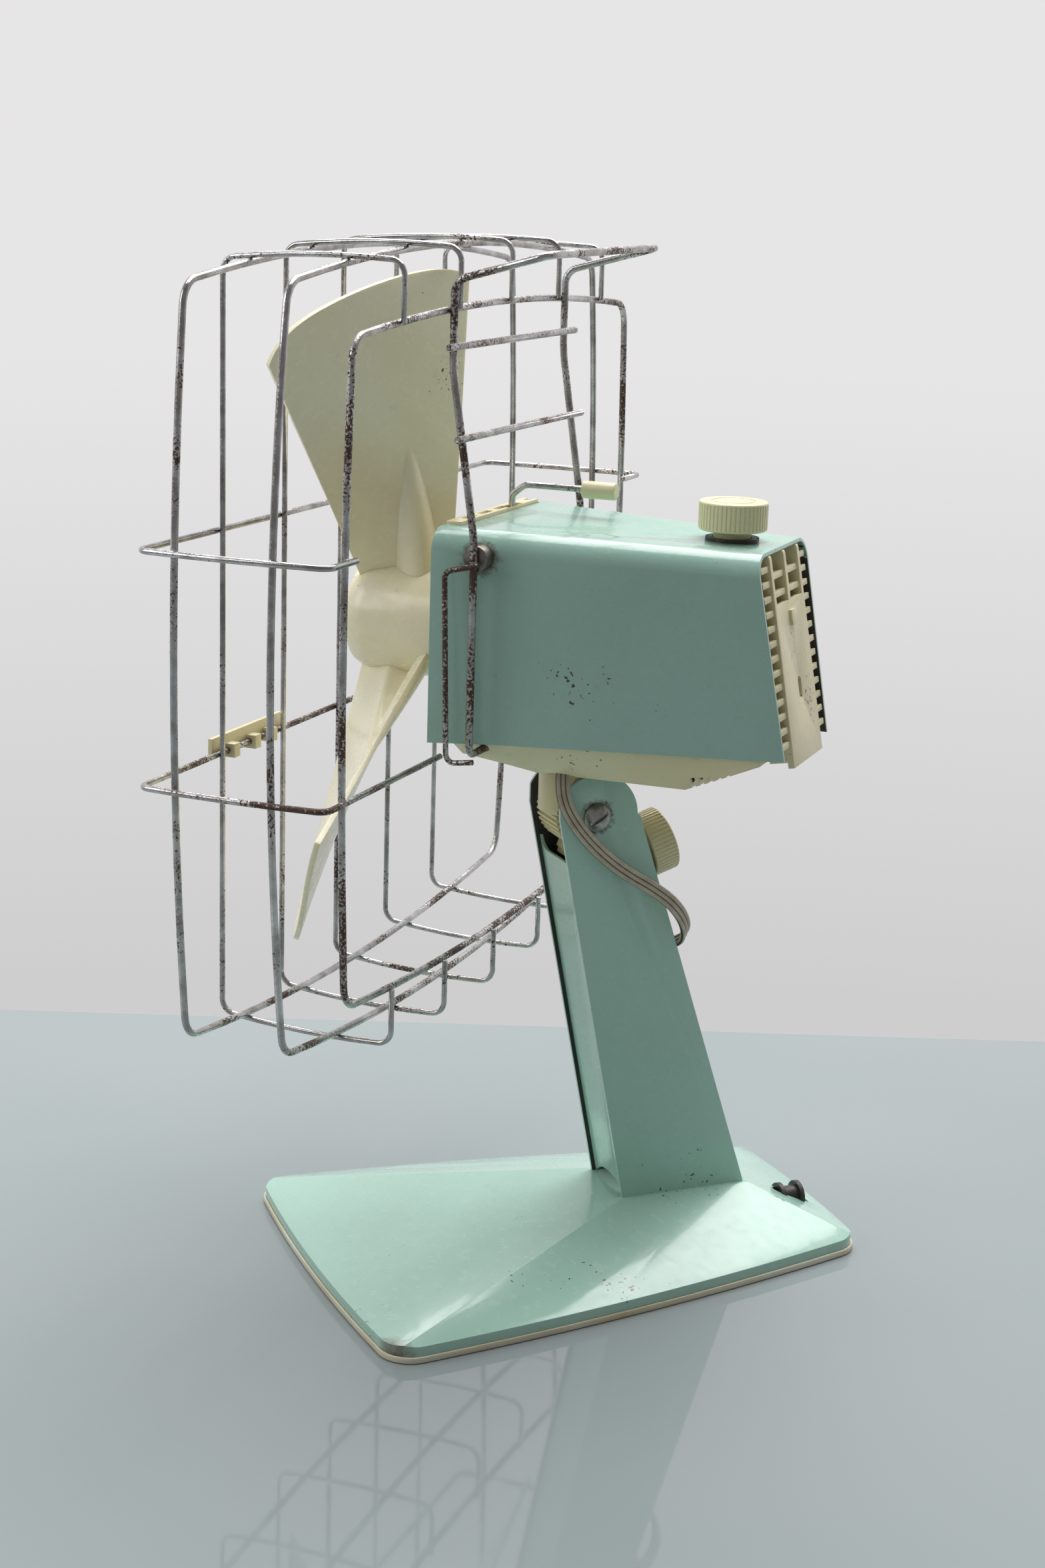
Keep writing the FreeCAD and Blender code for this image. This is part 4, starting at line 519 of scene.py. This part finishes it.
def paddle_point(share, reach):
    """A point of the blade's middle surface: share runs from its front edge to its rear edge."""
    angle = start_angle + share * (end_angle - start_angle)
    bow = blade_bow * math.sin(math.pi * share)
    tip_depth = front_y + share * (rear_y - front_y) + bow
    root_depth = front_y + root_back + share * (rear_y - front_y - root_rise) + bow
    edge = abs(2 * share - 1)
    outer = fan_radius - 0.0004 - (front_corner if share < 0.5 else rear_corner) * edge ** 6
    root = hub_radius - root_sink
    radius = root + reach * (outer - root)
    depth = root_depth + reach * (tip_depth - root_depth)
    return Vector((radius * math.cos(angle), depth, radius * math.sin(angle)))


bpy.ops.mesh.primitive_grid_add(x_subdivisions=64, y_subdivisions=72, size=1)
blades = bpy.context.object
blades.name = "blades"
for v in blades.data.vertices:
    share, reach = v.co.x + 0.5, v.co.y + 0.5
    place = paddle_point(share, reach)
    taper = 1 - reach / rib_reach
    across = (share - rib_middle) / (rib_half * taper + 0.01)
    ridge = max(0.0, 1 - across ** 2) * max(0.0, taper)
    along_chord = paddle_point(min(share + 0.01, 1), reach) - place
    along_span = paddle_point(share, reach + 0.01) - place
    v.co = place + along_chord.cross(along_span).normalized() * (rib_height * ridge)
thicken = blades.modifiers.new("thickness", "SOLIDIFY")
thicken.thickness = 0.0019
thicken.offset = 0
bpy.ops.object.modifier_apply(modifier=thicken.name)
soft_rim = blades.modifiers.new("moulded rim", "BEVEL")
soft_rim.width = 0.0006
soft_rim.segments = 2
soft_rim.limit_method = "ANGLE"
soft_rim.angle_limit = math.radians(50)
bpy.ops.object.modifier_apply(modifier=soft_rim.name)
paddles = [blades]
for turn in (120, 240):
    copy = blades.copy()
    copy.data = blades.data.copy()
    bpy.context.collection.objects.link(copy)
    copy.data.transform(Matrix.Rotation(math.radians(turn), 4, "Y"))
    paddles.append(copy)

bpy.ops.mesh.primitive_circle_add(vertices=4, radius=0.001)
hub = bpy.context.object
hub.name = "fan_hub"
hub_nose = front_y + 0.0015
hub_pocket = hub_rear_y - 0.0135
profile = [(0.0032, hub_rear_y), (0.007, hub_rear_y), (0.007, hub_pocket), (0.018, hub_pocket),
           (0.018, hub_rear_y - 0.0004), (0.0184, hub_rear_y), (0.0206, hub_rear_y),
           (hub_radius, hub_rear_y - 0.0004), (hub_radius, hub_nose + 0.0102),
           (0.0208, hub_nose + 0.0085), (0.0192, hub_nose + 0.0038), (0.0186, hub_nose + 0.0028),
           (0.0135, hub_nose + 0.0003), (0.0125, hub_nose), (0.0032, hub_nose)]
hub.data.clear_geometry()
hub.data.from_pydata([(radius, depth, 0) for radius, depth in profile],
                     [(i, (i + 1) % len(profile)) for i in range(len(profile))], [])
work_on(hub)
bpy.ops.object.mode_set(mode="EDIT")
bpy.ops.mesh.select_all(action="SELECT")
bpy.ops.mesh.spin(steps=96, angle=2 * math.pi, center=(0, 0, 0), axis=(0, 1, 0))
bpy.ops.mesh.remove_doubles(threshold=1e-6)
bpy.ops.mesh.normals_make_consistent(inside=False)
bpy.ops.object.mode_set(mode="OBJECT")
bpy.ops.object.select_all(action="DESELECT")
for piece in paddles[1:] + [hub, blades]:
    piece.select_set(True)
bpy.context.view_layer.objects.active = blades
bpy.ops.object.join()
blades.data.transform(head_frame)
smooth(blades, 40)
# Painted light: the blades' cream is paler than the other mouldings, standing for light shining through the
# thin paddles; the spinner nut shares it.
blade_plastic_painted_light = cream("blade_plastic_painted_light", (0.94, 0.89, 0.68), (0.89, 0.82, 0.57), 0.20)
blade_shader = blade_plastic_painted_light.node_tree.nodes["Principled BSDF"]
blade_shader.inputs["Subsurface Weight"].default_value = 0.6
blade_shader.inputs["Subsurface Radius"].default_value = (0.008, 0.007, 0.004)
give(blades, blade_plastic_painted_light)
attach(blades, "rotor")
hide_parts("fan_blades")
spinner = pressed_copy("fan_nut", "spinner_nut", "rotor", edge=0.0003)
give(spinner, blade_plastic_painted_light)

# ---------------------------------------------------------------- guard wires
# Cold-drawn steel wire, bent and spot-welded, then plated bright. The plating has dulled, is pitted
# all over, and has gone to brown rust where the hands and the damp reach: rear hoop, uprights, hooks.


def plated_wire(name, rust):
    """Bright plate with rust where the pattern passes a level, and more of it low on the guard."""
    made, shader, where = finish_of(name, (0.55, 0.53, 0.52), 0.2, metallic=1.0)
    nodes = made.node_tree.nodes
    height = nodes.new("ShaderNodeSeparateXYZ")
    damp = fade(made.node_tree, 0.12, 0.26, 0.045, 0.0)
    worst_low = nodes.new("ShaderNodeMath")
    join(made, where, height.inputs[0])
    join(made, height.outputs["Z"], damp.inputs["Value"])
    join(made, damp.outputs["Result"], worst_low.inputs[0])
    join(made, speckled(made, where, 38, 1100, 0.42), worst_low.inputs[1])
    patches = worst_low.outputs[0]
    dulled = between(made, grain(made, where, 110, 3), 0.35, 0.68, (0.60, 0.59, 0.59), (0.31, 0.29, 0.275))
    brown = between(made, grain(made, where, 1500, 3), 0.35, 0.65, (0.115, 0.055, 0.036),
                    (0.045, 0.026, 0.020))
    shade(made, shader, "Base Color", patches, rust, rust + 0.025, dulled, brown)
    shade(made, shader, "Metallic", patches, rust, rust + 0.03, 1.0, 0.2)
    shade(made, shader, "Roughness", patches, rust - 0.12, rust + 0.02, 0.11, 0.55)
    relief(made, shader, patches, 0.00010, 0.5)
    return made


clean_wire = plated_wire("bright_wire", 0.600)
worn_wire = plated_wire("worn_wire", 0.525)
rusty_wire = plated_wire("rusty_wire", 0.475)
wires = {
    "guard_hoop_front": clean_wire, "guard_hoop_middle": clean_wire, "guard_hoop_rear": worn_wire,
    "guard_wires_outer": clean_wire, "guard_wires_inner": clean_wire, "guard_wire_middle": clean_wire,
    "guard_band_upper": clean_wire, "guard_band_lower": worn_wire, "guard_stays": worn_wire,
    "guard_rungs": worn_wire, "guard_hooks": rusty_wire}
for node, plating in wires.items():
    wire = pressed_copy(node, node.replace("guard", "guard_bent"), "head", edge=0, smooth_angle=50)
    give(wire, plating)
lever = pressed_copy("lever_rod", "lever_bent_rod", "lever", edge=0.0002, sharp=40)
give(lever, clean_wire)

# ---------------------------------------------------------------- screws and steel parts
# Zinc-plated turned and pressed parts: dull grey, clouded darker in patches, with fine tool marks.


def zinc(name, colour=(0.50, 0.49, 0.47)):
    """Zinc plate: clouded grey with a fine turned grain."""
    made, shader, where = finish_of(name, colour, 0.38, metallic=1.0)
    shade(made, shader, "Base Color", grain(made, where, 260, 5, 0.65), 0.38, 0.70, colour,
          [c * 0.45 for c in colour])
    shade(made, shader, "Roughness", grain(made, where, 1800, 2, stretch=(1, 1, 6)), 0.3, 0.7, 0.28, 0.52)
    relief(made, shader, grain(made, where, 2200, 2), 0.00002)
    return made


zinc_plate = zinc("zinc_plate")
tarnished = zinc("tarnished_steel", (0.30, 0.26, 0.23))
for node, name, body, edge in (
        ("tilt_screw", "tilt_screw_slotted", "stand", 0.00025),
        ("tilt_nut", "tilt_hex_nut", "stand", 0.0003),
        ("foot_bolts", "foot_hex_bolts", "stand", 0.0003),
        ("foot_plate", "foot_steel_plate", "stand", 0.0002),
        ("worm_bracket", "worm_yoke", "stand", 0.0002),
        ("stay_bosses", "stay_turned_bosses", "head", 0.0003)):
    piece = pressed_copy(node, name, body, edge=edge, sharp=30)
    give(piece, tarnished if node in ("stay_bosses", "worm_bracket") else zinc_plate)
for node in ("tilt_worm", "lever_pin", "bearing_brackets", "motor_screws", "carrier", "pan_spindle",
             "spindle_clip", "gear_cover", "motor_shaft", "swing_crank", "swing_link", "switch_spindle"):
    give(node, zinc_plate)

# ---------------------------------------------------------------- motor and gears
# Varnished laminations, a taped copper winding, sintered bronze bushes, brass gears and a die-cast
# gear case, all seen only through the grilles and slots.
brass, brass_shader, brass_where = finish_of("gear_brass", (0.60, 0.44, 0.18), 0.35, metallic=1.0)
shade(brass, brass_shader, "Base Color", grain(brass, brass_where, 300, 4), 0.35, 0.7, (0.62, 0.46, 0.20),
      (0.36, 0.24, 0.10))
shade(brass, brass_shader, "Roughness", grain(brass, brass_where, 900, 2), 0.3, 0.7, 0.28, 0.5)
for node in ("motor_bushes", "thrust_washer", "swing_worm", "swing_wheel"):
    give(node, brass)

laminated, laminated_shader, laminated_where = finish_of("laminated_iron", (0.05, 0.045, 0.045), 0.45,
                                                         metallic=0.6)
sheets = laminated.node_tree.nodes.new("ShaderNodeTexWave")
sheets.inputs["Scale"].default_value = 300
sheets.bands_direction = "DIAGONAL"
laminated.node_tree.links.new(laminated_where, sheets.inputs["Vector"])
shade(laminated, laminated_shader, "Base Color", sheets.outputs["Fac"], 0.3, 0.7, (0.035, 0.03, 0.03),
      (0.09, 0.08, 0.075))
relief(laminated, laminated_shader, sheets.outputs["Fac"], 0.0001)
for node in ("motor_stack", "motor_core"):
    give(node, laminated)

tape, tape_shader, tape_where = finish_of("winding_tape", (0.40, 0.22, 0.09), 0.6)
shade(tape, tape_shader, "Base Color", grain(tape, tape_where, 400, 3, stretch=(1, 1, 5)), 0.35, 0.65,
      (0.42, 0.24, 0.10), (0.20, 0.10, 0.05))
relief(tape, tape_shader, grain(tape, tape_where, 700, 2, stretch=(1, 1, 6)), 0.0002)
give("motor_coil", tape)

casting, casting_shader, casting_where = finish_of("die_casting", (0.42, 0.42, 0.42), 0.5, metallic=0.9)
shade(casting, casting_shader, "Base Color", grain(casting, casting_where, 200, 4), 0.3, 0.7,
      (0.46, 0.46, 0.46), (0.32, 0.32, 0.32))
relief(casting, casting_shader, grain(casting, casting_where, 1200, 3), 0.00008)
give("gear_case", casting)

# ---------------------------------------------------------------- black mouldings and board
# Phenolic switch, bezel and terminal block, the rubber grommet and clip, and the fibre board that
# closes the base: dull black-brown with a pressed grain.
black, black_shader, black_where = finish_of("black_phenolic", (0.020, 0.018, 0.017), 0.42)
shade(black, black_shader, "Base Color", grain(black, black_where, 220, 4), 0.35, 0.7,
      (0.018, 0.017, 0.016), (0.045, 0.04, 0.036))
shade(black, black_shader, "Roughness", grain(black, black_where, 600, 2), 0.3, 0.7, 0.34, 0.6)
relief(black, black_shader, grain(black, black_where, 1500, 2), 0.00003)
for node in ("switch_body", "knob_bezel", "terminal_block", "mains_grommet", "flex_clip"):
    give(node, black)

board, board_shader, board_where = finish_of("fibre_board", (0.045, 0.035, 0.028), 0.75)
shade(board, board_shader, "Base Color", grain(board, board_where, 500, 5, 0.7), 0.35, 0.7,
      (0.040, 0.031, 0.025), (0.085, 0.066, 0.05))
relief(board, board_shader, grain(board, board_where, 1800, 3), 0.0001)
give("base_board", board)
